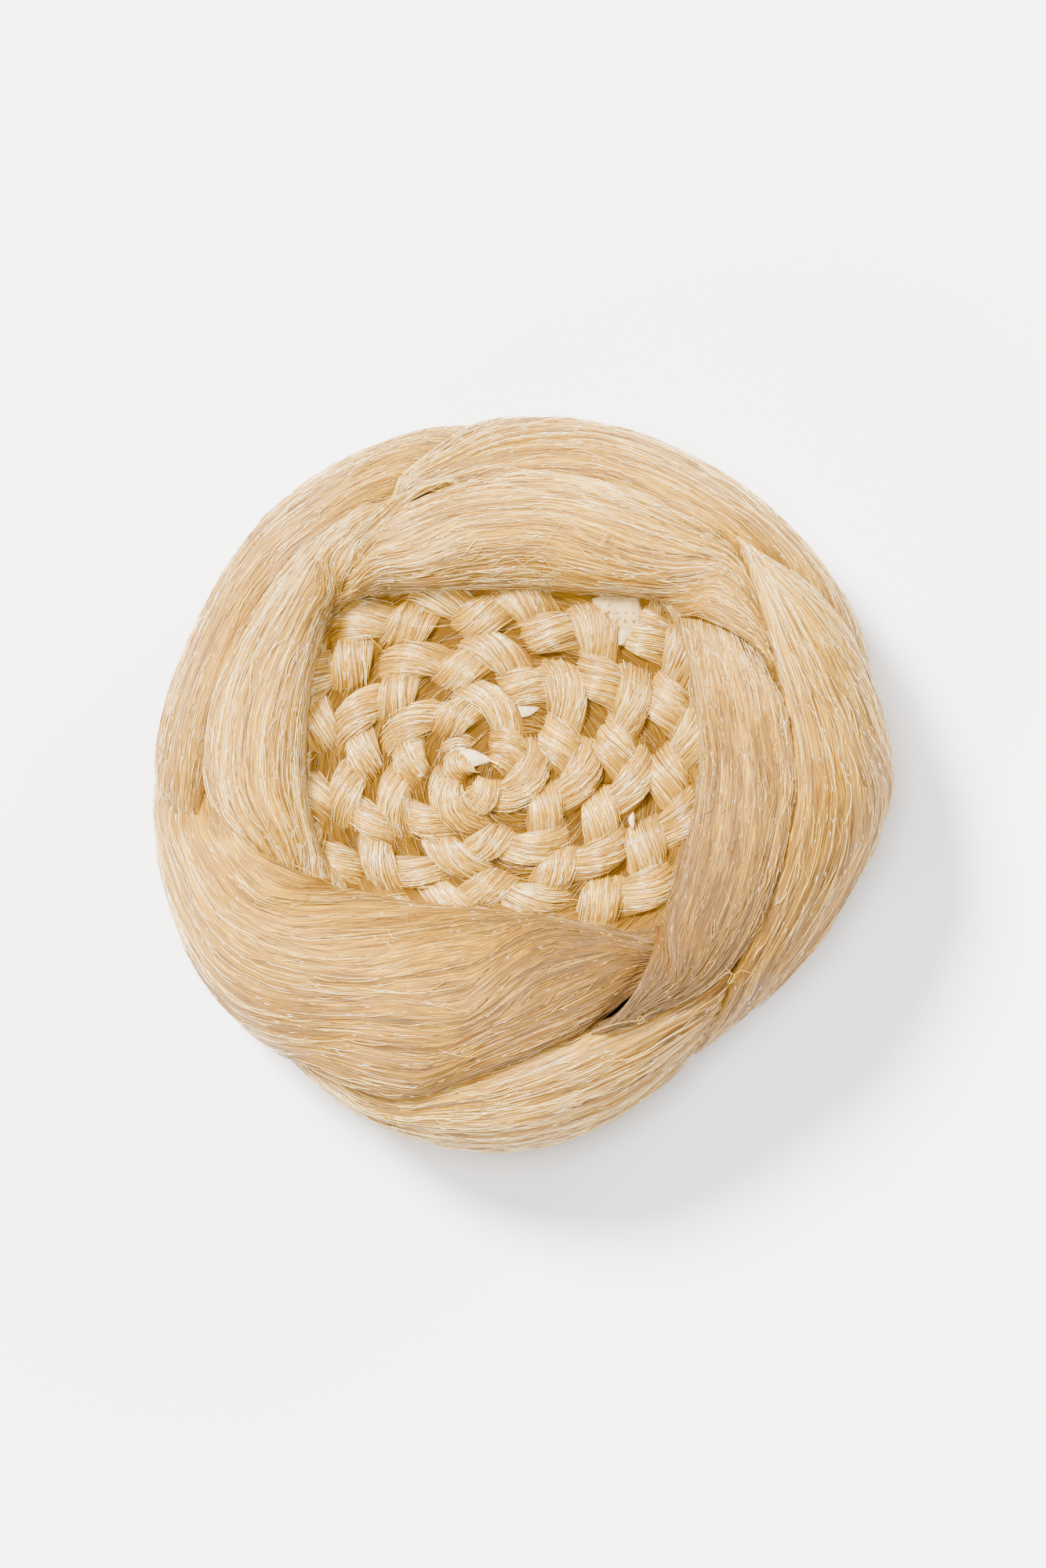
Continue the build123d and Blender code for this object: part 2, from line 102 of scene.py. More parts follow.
# Grooves between the locks: azimuth, angle round the ring's section
GROOVES = {
    "left_crest": [(138, 160), (132, 124), (126, 97), (120, 80), (114, 71), (108, 66), (102, 62)],
    "top_rim": [(114, 61), (108, 59), (102, 57), (90, 58), (78, 61), (66, 63), (54, 67), (48, 65)],
    "top_tail": [(114, 56), (110, 50), (104, 34), (98, 3), (90, -33), (78, -55)],
    "left_rim": [(186, 58), (176, 62), (169, 61), (160, 61), (151, 65), (141, 71), (130, 71), (120, 65),
                 (114, 61)],
    "right_tail": [(48, 60), (40, 48), (34, 36), (26, 22), (20, 12), (14, 0), (8, -30), (0, -55)],
    "right_crest": [(48, 65), (42, 70), (34, 77), (24, 80)],
    "top_crest": [(54, 160), (48, 143), (42, 120), (33, 97), (24, 85)],
    "right_rim": [(24, 82), (12, 81), (2, 80), (-9, 78), (-19, 72), (-28, 68), (-36, 64), (-42, 61)],
    "bottom_tail": [(-42, 58), (-48, 40), (-52, 25), (-57, 4), (-62, -22), (-72, -55)],
    "bottom_start": [(-42, 63), (-52, 66), (-62, 68), (-72, 72)],
    "bottom_crest": [(-42, 160), (-50, 139), (-59, 99), (-67, 84), (-72, 77)],
    "bottom_rim": [(-72, 75), (-85, 71), (-94, 65), (-101, 57), (-108, 43), (-112, 35), (-119, 27),
                   (-129, 10), (-137, -25), (-144, -55)],
    "left_foot": [(-150, 150), (-156, 130), (-163, 105), (-168, 90)],
    "left_tail": [(-174, 40), (-179, 4), (-184, -20), (-192, -55)],
}
LOWER = "lower_edge"
INNER = "inner_edge"
PAST_INNER_ANGLE = LIP_ANGLE + 40
SIDE_STEP = 1.5

# Locks: first azimuth, last azimuth, grooves on the outer side, grooves on the inner side, and how much
# paler or darker the hair is near the start, in the middle and near the end. These shifts are mostly
# painted light and shade: the right and bottom locks darken towards their ends, on the side away from the
# light, and some starts and middles are paler where the light falls.
TONE_AND_PAINTED_LIGHT_SHARES = (0.1, 0.5, 0.9)
LOCKS = {
    "top_inner": (138, 24, ["left_crest", "right_crest", "top_rim"], ["top_crest", INNER],
                  (0.06, 0.14, -0.08)),
    "right_inner": (54, -72, ["top_crest", "bottom_start", "right_rim"], ["bottom_crest", INNER],
                    (0.16, -0.38, -0.95)),
    "bottom_inner": (-42, -192, ["bottom_crest", "bottom_rim", LOWER], ["left_foot", "left_tail", INNER],
                     (0.14, -0.02, -0.80)),
    "left_inner": (210, 102, ["top_rim", "left_rim", "left_foot"], ["left_crest", INNER],
                   (-0.02, 0.12, 0.08)),
    "top_outer": (114, 0, ["top_tail", LOWER], ["right_tail", "top_rim"], (0.04, 0.06, 0.00)),
    "right_outer": (48, -72, ["right_tail", LOWER], ["right_crest", "bottom_tail", "right_rim"],
                    (0.24, -0.10, -0.28)),
    "bottom_outer": (-42, -144, ["bottom_tail", LOWER], ["bottom_start", "bottom_rim"],
                     (0.06, 0.12, -0.20)),
    "left_outer": (186, 78, ["left_tail", LOWER], ["top_tail", "left_rim"], (-0.08, -0.06, -0.06)),
}

# Grooves: the lock that lies over the others there, the depth of its edge, and that of the edges under it
GROOVE_EDGES = {
    "left_crest": ("left_inner", 1.3, 2.8), "top_rim": ("top_inner", 1.3, 3.2),
    "top_tail": ("top_outer", 0.8, 2.2), "left_rim": ("left_inner", 0.8, 2.0),
    "right_tail": ("right_outer", 1.0, 2.6), "right_crest": ("right_outer", 1.3, 2.4),
    "top_crest": ("top_inner", 1.3, 2.6), "right_rim": ("right_outer", 0.8, 1.4),
    "bottom_tail": ("right_outer", 0.8, 2.2), "bottom_start": ("right_inner", 1.3, 3.0),
    "bottom_crest": ("right_inner", 1.3, 2.4), "bottom_rim": ("bottom_inner", 1.3, 2.0),
    "left_foot": ("bottom_inner", 0.7, 1.8), "left_tail": ("bottom_inner", 0.5, 1.6),
}

# How far in from its edge a lock starts to fall, over its neighbour and under it, and how it goes on
# down past its edge
OVER_WIDTH = 3.4
UNDER_WIDTH = 6.5
DIVE_SLOPE = 0.42
DIVE_LIMIT = 7.5


def smooth(rows, x):
    """Value at x on a smooth curve through rows of (place, value)."""
    last = len(rows) - 1
    i = max(j for j in range(last) if rows[j][0] <= x or j == 0)
    x0, y0 = rows[i]
    x1, y1 = rows[i + 1]
    slope = (y1 - y0) / (x1 - x0)
    before = (y1 - rows[i - 1][1]) / (x1 - rows[i - 1][0]) if i > 0 else slope
    after = (rows[i + 2][1] - y0) / (rows[i + 2][0] - x0) if i + 1 < last else slope
    t = (x - x0) / (x1 - x0)
    lift = (x1 - x0) * t * (1 - t)
    return y0 + (y1 - y0) * t + lift * ((before - slope) * (1 - t) + (slope - after) * t)


def smooth_path(shares, points, stations):
    """Points at stations on a smooth curve through points at shares of its length."""
    curves = [list(zip(shares, points[:, k])) for k in (0, 1)]
    return np.stack([[smooth(rows, t) for t in stations] for rows in curves], axis=-1)


def sampled(rows, start, stop, step):
    """Rows of a table sampled evenly, as arrays of places and values for np.interp."""
    places = np.arange(start, stop + step / 2, step)
    rows = sorted(rows)
    return places, np.array([smooth(rows, x) for x in places])


def closed(rows):
    """A table round the ring, repeated on both sides so that its curve closes."""
    rows = [(a + turn, v) for turn in (-FULL_TURN, 0, FULL_TURN) for a, v in rows]
    return sampled(rows, 0.0, FULL_TURN, 1.0)


OUTLINE_CURVE = closed(OUTLINE)
LIP_CURVE = closed(LIP)
COVER_CURVE = closed(COVER)
COIL_CURVE = sampled(COIL, 0.0, COIL[-1][0], 0.01)
GROOVE_CURVES = {name: sampled(rows, min(rows)[0], max(rows)[0], 1.0) for name, rows in GROOVES.items()}

# Past its inner edge the skin slopes on inwards and down, in millimetres for each degree round the section
INWARD_SLOPE = 0.1
DOWNWARD_SLOPE = 0.04


def reach_radius(azimuth):
    return BUN_RADIUS * np.interp(azimuth % FULL_TURN, *OUTLINE_CURVE)


def lip_radius(azimuth):
    return PLAIT_REACH * np.interp(azimuth % FULL_TURN, *LIP_CURVE)


def cover_radius(azimuth):
    return lip_radius(azimuth) + PLAIT_REACH * np.interp(azimuth % FULL_TURN, *COVER_CURVE)


def crown_radius(lip, reach):
    return lip + CROWN_SHARE * (reach - lip)


def skin(azimuth, around, sink):
    """Radius and height of the ring's surface, sunk by a depth, at an angle round its section."""
    lip = lip_radius(azimuth)
    reach = reach_radius(azimuth) - sink
    top = BUN_HEIGHT - sink
    crown = crown_radius(lip, reach)
    past = np.maximum(around - LIP_ANGLE, 0.0)
    around = np.minimum(around, LIP_ANGLE)
    c = np.cos(np.radians(around))
    s = np.sin(np.radians(around))
    inwards = around > 90
    radius = crown + np.where(inwards, crown - lip, reach - crown) * c - INWARD_SLOPE * past
    rise = np.where(around > 0, top - WAIST_HEIGHT, UNDERCUT)
    height = np.where(inwards, LIP_HEIGHT + (top - LIP_HEIGHT) * s - sink * (1 - s),
                      WAIST_HEIGHT + rise * s)
    return radius, height - DOWNWARD_SLOPE * past


# A flat map of the ring's skin in millimetres: p runs round it, q from the lower to the inner edge
MAP_P = 0.89
MAP_AROUND = np.array([-90.0, 0.0, 90.0, 180.0, 270.0])
MAP_Q = np.array([-32.0, 0.0, 32.0, 45.0, 58.0])


def to_map(azimuth, around):
    return np.stack([np.asarray(azimuth) * MAP_P, np.interp(around, MAP_AROUND, MAP_Q)], axis=-1)


def from_map(place):
    return place[..., 0] / MAP_P, np.interp(place[..., 1], MAP_Q, MAP_AROUND)


def upright(azimuth, radius, height):
    a = np.radians(azimuth)
    return np.stack([radius * np.cos(a), radius * np.sin(a), height], axis=-1)


def on_skin(place, sink):
    """Points in space for places on the map, sunk under the skin."""
    azimuth, around = from_map(place)
    return upright(azimuth, *skin(azimuth, around, sink))


def dome_height(x, y, room):
    """Height of the backing's outside, kept clear by room, at a place seen from above."""
    distance = np.hypot(x - BACKING_CENTRE[0], y - BACKING_CENTRE[1])
    corner = BACKING_RADIUS - SHOULDER_RADIUS
    shoulder = BACKING_HEIGHT - CROWN_DROP - SHOULDER_RADIUS
    arm = SHOULDER_RADIUS + room
    top = BACKING_HEIGHT + room - CROWN_DROP * distance / corner
    side = shoulder + np.sqrt(np.maximum(arm ** 2 - (distance - corner) ** 2, 0.0))
    return np.where(distance <= corner, top, side)


def pixel_point(x, y):
    """Place seen from above under a pixel of the photograph."""
    return (x - MIDDLE_PIXEL[0]) * PIXEL, (MIDDLE_PIXEL[1] - y) * PIXEL


def section_place(x, y):
    """Azimuth and angle round the ring's section at a place seen from above."""
    azimuth = np.degrees(np.arctan2(y, x))
    radius = np.hypot(x, y)
    lip = lip_radius(azimuth)
    reach = reach_radius(azimuth)
    crown = crown_radius(lip, reach)
    outer = np.degrees(np.arccos(np.clip((radius - crown) / (reach - crown), 0, 1)))
    inner = 180 - np.degrees(np.arccos(np.clip((crown - radius) / (crown - lip), 0, 1)))
    past = np.maximum(lip - radius, 0) / INWARD_SLOPE
    return azimuth, np.where(radius >= crown, outer, inner + past)


def hair_height(x, y):
    """Height of the hair's surface at a place seen from above."""
    azimuth, around = section_place(x, y)
    return np.where(around > LIP_ANGLE, PLAIT_TOP, skin(azimuth, around, 0)[1])


def pixels(points):
    """Azimuths and angles round the section under pixels of the photograph."""
    return list(zip(*section_place(*pixel_point(*np.array(points, float).T))))


# Stretches of rail, in pixels, that two locks share
TOP_RIM_PIXELS = [(600, 600), (650, 596), (700, 597), (750, 604), (800, 618), (850, 640), (900, 668),
                  (940, 693)]
LEFT_RIM_PIXELS = [(455, 650), (400, 692), (350, 744), (312, 802), (283, 862), (266, 922)]


def lower(*azimuths):
    """Stretch of rail along the lower edge, a little above its angle."""
    return [(azimuth, LOWER_ANGLE + 3) for azimuth in azimuths]


# Rails of each lock, from its hidden start to its hidden end: the inner side and then the outer side
RAILS = {
    "top_inner": (
        pixels([(385, 850), (425, 785), (450, 766), (500, 758), (560, 756), (620, 754), (680, 754),
                (740, 757), (800, 764), (850, 774), (900, 790), (950, 815), (985, 850), (1005, 885),
                (1030, 945)]),
        pixels([(415, 720), (440, 690), (500, 640), (555, 614)]
               + TOP_RIM_PIXELS
               + [(975, 735), (1012, 800), (1040, 860)]),
    ),
    "right_inner": (
        pixels([(800, 735), (855, 782), (872, 830), (885, 890), (892, 950), (887, 1010), (875, 1060),
                (862, 1110), (850, 1150), (838, 1200), (818, 1250), (790, 1290), (765, 1315),
                (738, 1330)]),
        pixels([(930, 720), (985, 820), (1004, 880), (1012, 930), (1018, 980), (1014, 1050),
                (1000, 1110), (982, 1160), (958, 1205), (930, 1245), (885, 1275), (830, 1300),
                (768, 1322), (740, 1334)]),
    ),
    "bottom_inner": (
        pixels([(246, 920), (262, 975), (275, 1020), (292, 1050), (320, 1078), (360, 1100), (400, 1118),
                (450, 1133), (500, 1144), (560, 1150), (620, 1156), (700, 1165), (760, 1180),
                (800, 1188), (842, 1192), (895, 1200)]),
        lower(154, 168, 186, 203) + [(216, -55), (223, -25)]
        + pixels([(383, 1358), (448, 1390), (505, 1408), (540, 1402), (593, 1382), (650, 1362),
                  (700, 1343), (745, 1322), (800, 1290), (850, 1255), (895, 1222)]),
    ),
    "left_inner": (
        pixels([(620, 606), (560, 616), (520, 638), (495, 658), (475, 680), (455, 715), (438, 750),
                (425, 787), (412, 830), (403, 880), (398, 930), (396, 980), (400, 1030), (410, 1070),
                (425, 1110), (450, 1170)]),
        pixels([(620, 590), (560, 598), (520, 614), (487, 632)]
               + LEFT_RIM_PIXELS
               + [(262, 975), (270, 1015), (285, 1045), (310, 1078), (345, 1130)]),
    ),
    "top_outer": (
        pixels([(462, 650), (480, 640), (520, 619), (560, 607)]
               + TOP_RIM_PIXELS
               + [(965, 712), (1010, 765), (1045, 830), (1065, 900)]),
        pixels([(458, 648), (480, 636), (500, 618), (520, 600), (560, 570), (603, 543)])
        + [(94, -16), (87, -40)] + lower(78, 60, 40, 20, 0, -14),
    ),
    "right_outer": (
        pixels([(928, 662), (950, 698), (962, 740), (978, 790), (990, 840), (1003, 885), (1012, 930),
                (1018, 985), (1012, 1055), (998, 1115), (978, 1165), (955, 1212), (938, 1245),
                (930, 1275), (918, 1300), (900, 1325)])
        + [(-58, -2), (-64, -28), (-72, -56)],
        pixels([(938, 660), (962, 700), (1000, 722), (1040, 748), (1065, 775), (1085, 800), (1103, 835),
                (1117, 865)])
        + [(12, -6), (7, -33)] + lower(-2, -20, -40, -58, -74),
    ),
    "bottom_outer": (
        pixels([(372, 1330), (400, 1362), (448, 1385), (505, 1402), (540, 1400), (593, 1380),
                (650, 1360), (700, 1341), (745, 1323), (775, 1312), (830, 1294), (885, 1270),
                (925, 1240), (960, 1210)]),
        lower(206, 216, 232, 250, 268, 284, 296, 308),
    ),
    "left_outer": (
        pixels([(575, 588), (520, 613), (487, 634)]
               + LEFT_RIM_PIXELS
               + [(258, 975), (250, 1030), (246, 1064), (252, 1120)]),
        lower(60, 78, 95, 112, 130, 148, 162, 176),
    ),
}

# At the inner edge a lock dives under the plait's outer leaves: how far in and down it goes, over what
# width, and where on the map and over what stretch this sets in
LIP_REACH = 4.5
LIP_DROP = 7.5
LIP_ROLL = 16.0
LIP_ROLL_FROM = 38.0
LIP_ROLL_START = 5.0

# Points along and across each lock's sheet
GRID_ALONG = 110
GRID_ACROSS = 38


def side_angle(names, azimuth):
    """Angle of the first named groove that passes this azimuth, and the groove's name."""
    for name in names:
        if name == LOWER:
            return LOWER_ANGLE, name
        if name == INNER:
            return PAST_INNER_ANGLE, name
        places, values = GROOVE_CURVES[name]
        for place in (azimuth - FULL_TURN, azimuth, azimuth + FULL_TURN):
            if places[0] <= place <= places[-1]:
                return float(np.interp(place, places, values)), name
    raise ValueError(f"no groove at azimuth {azimuth}")


def seen_region(name):
    """Corners on the map of the region in which a lock is seen, and for each side its depth and width."""
    first, last, outer_side, inner_side, _ = LOCKS[name]
    stations = np.arange(last, first + SECTION_STEP / 2, SECTION_STEP)
    azimuths = np.arange(last, first + SIDE_STEP / 2, SIDE_STEP)
    corners = []
    grooves = []
    for names, order in ((outer_side, -1), (inner_side, 1)):
        found = [side_angle(names, a) for a in stations]
        rows = [(a, angle) for a, (angle, _) in zip(stations, found)]
        nearest = np.clip(np.round((azimuths - last) / SECTION_STEP).astype(int), 0, len(stations) - 1)
        side = [to_map(a, smooth(rows, a)) for a in azimuths]
        corners += side[::order]
        grooves += [found[i][1] for i in nearest][::order]
    depths = []
    for groove in grooves:
        if groove in (LOWER, INNER):
            depths.append((0.0, 1.0))
            continue
        over, edge_depth, under_depth = GROOVE_EDGES[groove]
        depths.append((edge_depth, OVER_WIDTH) if over == name else (under_depth, UNDER_WIDTH))
    return np.array(corners), np.array(depths)


def sink_from_sides(place, corners, depths):
    """How far the skin is sunk at places on the map: round near a lock's sides, and deeper past them."""
    flat = place.reshape(-1, 2)
    a = corners
    b = np.roll(corners, -1, axis=0)
    edge = b - a
    length = np.maximum((edge ** 2).sum(1), 1e-9)
    away = flat[:, None, :] - a[None]
    t = np.clip((away * edge[None]).sum(2) / length, 0, 1)
    distance = np.sqrt(((away - t[..., None] * edge[None]) ** 2).sum(2))
    crossing = (a[None, :, 1] > flat[:, None, 1]) != (b[None, :, 1] > flat[:, None, 1])
    rise = np.where(np.abs(edge[:, 1]) < 1e-9, 1e-9, edge[:, 1])
    where = a[None, :, 0] + (flat[:, None, 1] - a[None, :, 1]) * edge[None, :, 0] / rise[None]
    inside = (crossing & (flat[:, None, 0] < where)).sum(1) % 2 == 1
    depth = depths[None, :, 0]
    width = depths[None, :, 1]
    near = np.clip(1 - distance / width, 0, 1)
    roll = (depth * (1 - np.sqrt(np.maximum(1 - near ** 2, 0)))).max(1)
    nearest = distance.min(1)
    side = depths[distance.argmin(1), 0]
    past = np.minimum(side + DIVE_SLOPE * nearest, np.maximum(DIVE_LIMIT, side))
    past = np.where(side == 0.0, 0.0, past)
    return np.where(inside, roll, past).reshape(place.shape[:-1])


def rail_points(rail, count, near):
    """A rail sampled evenly on the map, with azimuths near to a given one."""
    azimuth = np.array([a for a, _ in rail], float)
    azimuth = near + (azimuth - near + 180) % FULL_TURN - 180
    place = to_map(azimuth, np.array([b for _, b in rail], float))
    steps = np.hypot(*np.diff(place, axis=0).T)
    along = np.concatenate([[0], np.cumsum(steps)])
    along /= along[-1]
    return smooth_path(along, place, np.linspace(0, 1, count))


def waves(along, across, scale, lengths, amplitude, seed):
    """Soft ridges that run along a lock: sums of sines across it whose phases wander along it."""
    generator = np.random.default_rng(seed)
    total = np.zeros(np.broadcast(along, across).shape)
    for wavelength in lengths:
        phase, drift, bend = generator.uniform(0, 2 * math.pi, 3)
        wander = 0.8 * np.sin(along / (9 * wavelength + 12) * 2 * math.pi + bend)
        wander = wander + 0.25 * np.sin(along / (3 * wavelength + 5) * 2 * math.pi + drift)
        total = total + np.sin(across * scale / wavelength * 2 * math.pi + phase + wander)
    return amplitude * total / len(lengths)


class Lock:
    """One lock of hair: a sheet on the map between two rails."""

    def __init__(self, name, number):
        self.name = name
        self.seed = 100 + number
        inner, outer = RAILS[name]
        first, last = LOCKS[name][:2]
        near = (first + last) / 2
        a = rail_points(inner, GRID_ALONG, near)
        b = rail_points(outer, GRID_ALONG, near)
        near_lip = np.clip((a[:, None, 1] - LIP_ROLL_FROM) / LIP_ROLL_START, 0, 1)
        a[:, 1] += LIP_REACH * near_lip[:, 0]
        across = np.linspace(0, 1, GRID_ACROSS)[None, :, None]
        self.place = a[:, None] * (1 - across) + b[:, None] * across
        corners, depths = seen_region(name)
        edge = np.hypot(*np.moveaxis(self.place - a[:, None], -1, 0))
        dive = np.clip(1 - edge / LIP_ROLL, 0, 1) ** 1.5
        self.sink = sink_from_sides(self.place, corners, depths) + LIP_DROP * near_lip * dive
        middle = self.place[:, GRID_ACROSS // 2]
        self.length = float(np.hypot(*np.diff(middle, axis=0).T).sum())
        widths = np.hypot(*(b - a).T)
        self.width = float(np.percentile(widths, 70))

    def at(self, along, across):
        """Place on the map and sink at shares along and across, between 0 and 1."""
        x = np.clip(along, 0, 1) * (GRID_ALONG - 1)
        y = np.clip(across, 0, 1) * (GRID_ACROSS - 1)
        i = np.minimum(x.astype(int), GRID_ALONG - 2)
        j = np.minimum(y.astype(int), GRID_ACROSS - 2)
        fx = (x - i)[..., None]
        fy = (y - j)[..., None]
        grid = np.concatenate([self.place, self.sink[..., None]], axis=-1)
        near = grid[i, j] * (1 - fx) + grid[i + 1, j] * fx
        far = grid[i, j + 1] * (1 - fx) + grid[i + 1, j + 1] * fx
        found = near * (1 - fy) + far * fy
        return found[..., :2], found[..., 2]

    def ridges(self, along, across):
        coarse = waves(along * self.length, across, self.width, (9.0, 6.1, 4.3, 3.1), 0.24, self.seed)
        fine = waves(along * self.length, across, self.width, (2.3, 1.7), 0.12, self.seed + 50)
        return coarse + fine

    def clumps(self, along, across):
        """Paler and darker bands along the lock."""
        return waves(along * self.length, across, self.width, (7.3, 4.1, 2.7, 1.6), 1.0, self.seed + 70)

    def tone(self, along, across):
        """How much paler or darker the hair is: painted light and shade along it, and its own clumps."""
        return np.interp(along, TONE_AND_PAINTED_LIGHT_SHARES, LOCKS[self.name][4]) + 0.25 * self.clumps(along, across)


# Each mesh carries two values for its material: a tone value, from darker to paler hair with painted light
# and shade in it, and a shade value, painted shade from the crests at 0 to the depth of a groove at 1. Its
# map "fibre" runs along the hair and then across it.


def make_mesh(name, points, faces, sizes, values, uv):
    """An object from arrays: points in millimetres, corners of all faces in a row, and corners per face."""
    mesh = bpy.data.meshes.new(name)
    mesh.vertices.add(len(points))
    mesh.vertices.foreach_set("co", (points * MM).astype(np.float32).ravel())
    mesh.loops.add(len(faces))
    mesh.loops.foreach_set("vertex_index", faces.astype(np.int32))
    mesh.polygons.add(len(sizes))
    starts = np.concatenate([[0], np.cumsum(sizes)[:-1]])
    mesh.polygons.foreach_set("loop_start", starts.astype(np.int32))
    mesh.polygons.foreach_set("loop_total", sizes.astype(np.int32))
    mesh.polygons.foreach_set("use_smooth", np.ones(len(sizes), bool))
    for key, value in values.items():
        attribute = mesh.attributes.new(key, "FLOAT", "POINT")
        attribute.data.foreach_set("value", value.astype(np.float32))
    layer = mesh.uv_layers.new(name="fibre")
    layer.data.foreach_set("uv", uv[faces].astype(np.float32).ravel())
    mesh.update(calc_edges=True)
    mesh.validate()
    thing = bpy.data.objects.new(name, mesh)
    bpy.context.scene.collection.objects.link(thing)
    return thing


def sheet_solid(name, top, under, values, uv):
    """A closed solid between two grids of points."""
    n, m = top.shape[:2]
    points = np.concatenate([top.reshape(-1, 3), under.reshape(-1, 3)])
    index = np.arange(n * m).reshape(n, m)
    down = index + n * m

    def quads(grid, flip):
        corners = [grid[:-1, :-1], grid[1:, :-1], grid[1:, 1:], grid[:-1, 1:]]
        return np.stack(corners[::-1] if flip else corners, axis=-1).reshape(-1, 4)

    rim = np.concatenate([index[:, 0], index[-1, 1:], index[-2::-1, -1], index[0, -2:0:-1]])
    deep = np.concatenate([down[:, 0], down[-1, 1:], down[-2::-1, -1], down[0, -2:0:-1]])
    walls = np.stack([rim, deep, np.roll(deep, -1), np.roll(rim, -1)], axis=-1)
    inside = np.array([0.0, 0.0, WAIST_HEIGHT])
    a, b, c = points[index[0, 0]], points[index[1, 0]], points[index[0, 1]]
    outward = np.dot(np.cross(b - a, c - a), a - inside) > 0
    faces = np.concatenate([quads(index, not outward), quads(down, outward),
                            walls if outward else walls[:, ::-1]])
    doubled = {key: np.tile(value.ravel(), 2) for key, value in values.items()}
    flat = np.tile(uv.reshape(-1, 2), (2, 1))
    return make_mesh(name, points, faces.ravel(), np.full(len(faces), 4), doubled, flat)


def ring_quads(index):
    """Corners of the faces between one closed ring of points and the next."""
    following = np.roll(index, -1, axis=-1)
    corners = [index[..., :-1, :], following[..., :-1, :], following[..., 1:, :], index[..., 1:, :]]
    return np.stack(corners, axis=-1).reshape(-1, 4)


FIBRE_MAP_STEP = 0.37


def tubes(name, paths, radii, tones, shades, spans):
    """Fibres as closed three-sided tubes. Paths and radii go by fibre and then by station along it."""
    n, m = paths.shape[:2]
    tangent = np.gradient(paths, axis=1)
    tangent /= np.maximum(np.linalg.norm(tangent, axis=2, keepdims=True), 1e-9)
    up = np.array([0.0, 0.0, 1.0])
    side = np.cross(tangent, up)
    side /= np.maximum(np.linalg.norm(side, axis=2, keepdims=True), 1e-6)
    lift = np.cross(side, tangent)
    rings = []
    for k in range(3):
        a = math.radians(90 + 120 * k)
        rings.append(paths + radii[..., None] * (math.cos(a) * side + math.sin(a) * lift))
    points = np.stack(rings, axis=2)
    index = np.arange(n * m * 3).reshape(n, m, 3)
    quads = ring_quads(index)
    caps = np.concatenate([index[:, 0, ::-1], index[:, -1]])
    faces = np.concatenate([quads.ravel(), caps.ravel()])
    sizes = np.concatenate([np.full(len(quads), 4), np.full(len(caps), 3)])
    uv = np.empty((n, m, 3, 2))
    uv[..., 0] = np.linspace(0, 1, m)[None, :, None] * spans[:, None, None]
    uv[..., 1] = np.arange(n)[:, None, None] * FIBRE_MAP_STEP
    # The tone values hold each fibre's own tone together with any painted light and shade.
    values = {"tone": np.repeat(np.broadcast_to(tones, (n, m)).ravel(), 3),
              "shade": np.repeat(np.broadcast_to(shades, (n, m)).ravel(), 3)}
    return make_mesh(name, points.reshape(-1, 3), faces, sizes, values, uv.reshape(-1, 2))


LOCK_ROOM = 0.8          # under a lock's solid, over the backing
PLAIT_COVER_GAP = 0.6    # under a lock's solid, over the plait
UNDER_CROWN = 0.6        # foot of the crown's middle, between the plait and the wall


def under_side(place, top):
    """Places where a lock's solid rests: on the backing's dome, or over the plait near its inner edge."""
    azimuth, around = from_map(place)
    radius = np.hypot(top[..., 0], top[..., 1])
    cover = cover_radius(azimuth)
    a = np.radians(azimuth)
    wall_along = BACKING_CENTRE[0] * np.cos(a) + BACKING_CENTRE[1] * np.sin(a)
    wall_across = BACKING_CENTRE[0] * np.sin(a) - BACKING_CENTRE[1] * np.cos(a)
    wall = wall_along + np.sqrt((BACKING_RADIUS + LOCK_ROOM) ** 2 - wall_across ** 2)
    share = np.clip(around / 90, 0, 1)
    inner = cover + UNDER_CROWN * (wall - cover)
    foot_radius = np.where(around > 90, cover + (inner - cover) * np.clip((180 - around) / 90, 0, 1),
                           wall - (wall - inner) * (1 - np.cos(share * math.pi / 2)))
    shoulder = BACKING_HEIGHT - CROWN_DROP - SHOULDER_RADIUS
    low = shoulder + (LOWER_HEIGHT - shoulder) * np.clip(around / LOWER_ANGLE, 0, 1)
    dome = dome_height(foot_radius * np.cos(a), foot_radius * np.sin(a), LOCK_ROOM)
    foot_height = np.where(around <= 0, low, dome)
    level = np.minimum(BACKING_HEIGHT + PLAIT_THICKNESS + PLAIT_COVER_GAP, top[..., 2] - PLAIT_COVER_GAP)
    over_plait = radius < cover + PLAIT_COVER_GAP
    return upright(azimuth, np.where(over_plait, radius, foot_radius),
                   np.where(over_plait, level, foot_height))


FIBRE_RADIUS = 0.062
GLINT_RADIUS = 0.055
FULL_SHADE_SINK = 3.0
TUCK = 0.22              # ends of a fibre under the skin

# Fibres on each lock: how many, points along each, lengths, heights over the skin, tone and its spread,
# and sideways sway
LOCK_FIBRES = [
    (830, 7, (14, 40), (0.0, 0.14), (0.44, 0.30), 0.45),
    (640, 7, (3, 11), (0.08, 0.50), (0.74, 0.36), 0.5),
    (40, 7, (6, 16), (0.2, 0.6), (0.85, 0.15), 1.8),
]
# Glints: short near-white fibres that are painted highlights
LOCK_GLINTS = (290, 4, (0.7, 2.2), (0.10, 0.26), (0.9, 0.25), 0.1)


def lock_shade(sink):
    return np.clip(sink / FULL_SHADE_SINK, 0, 1)


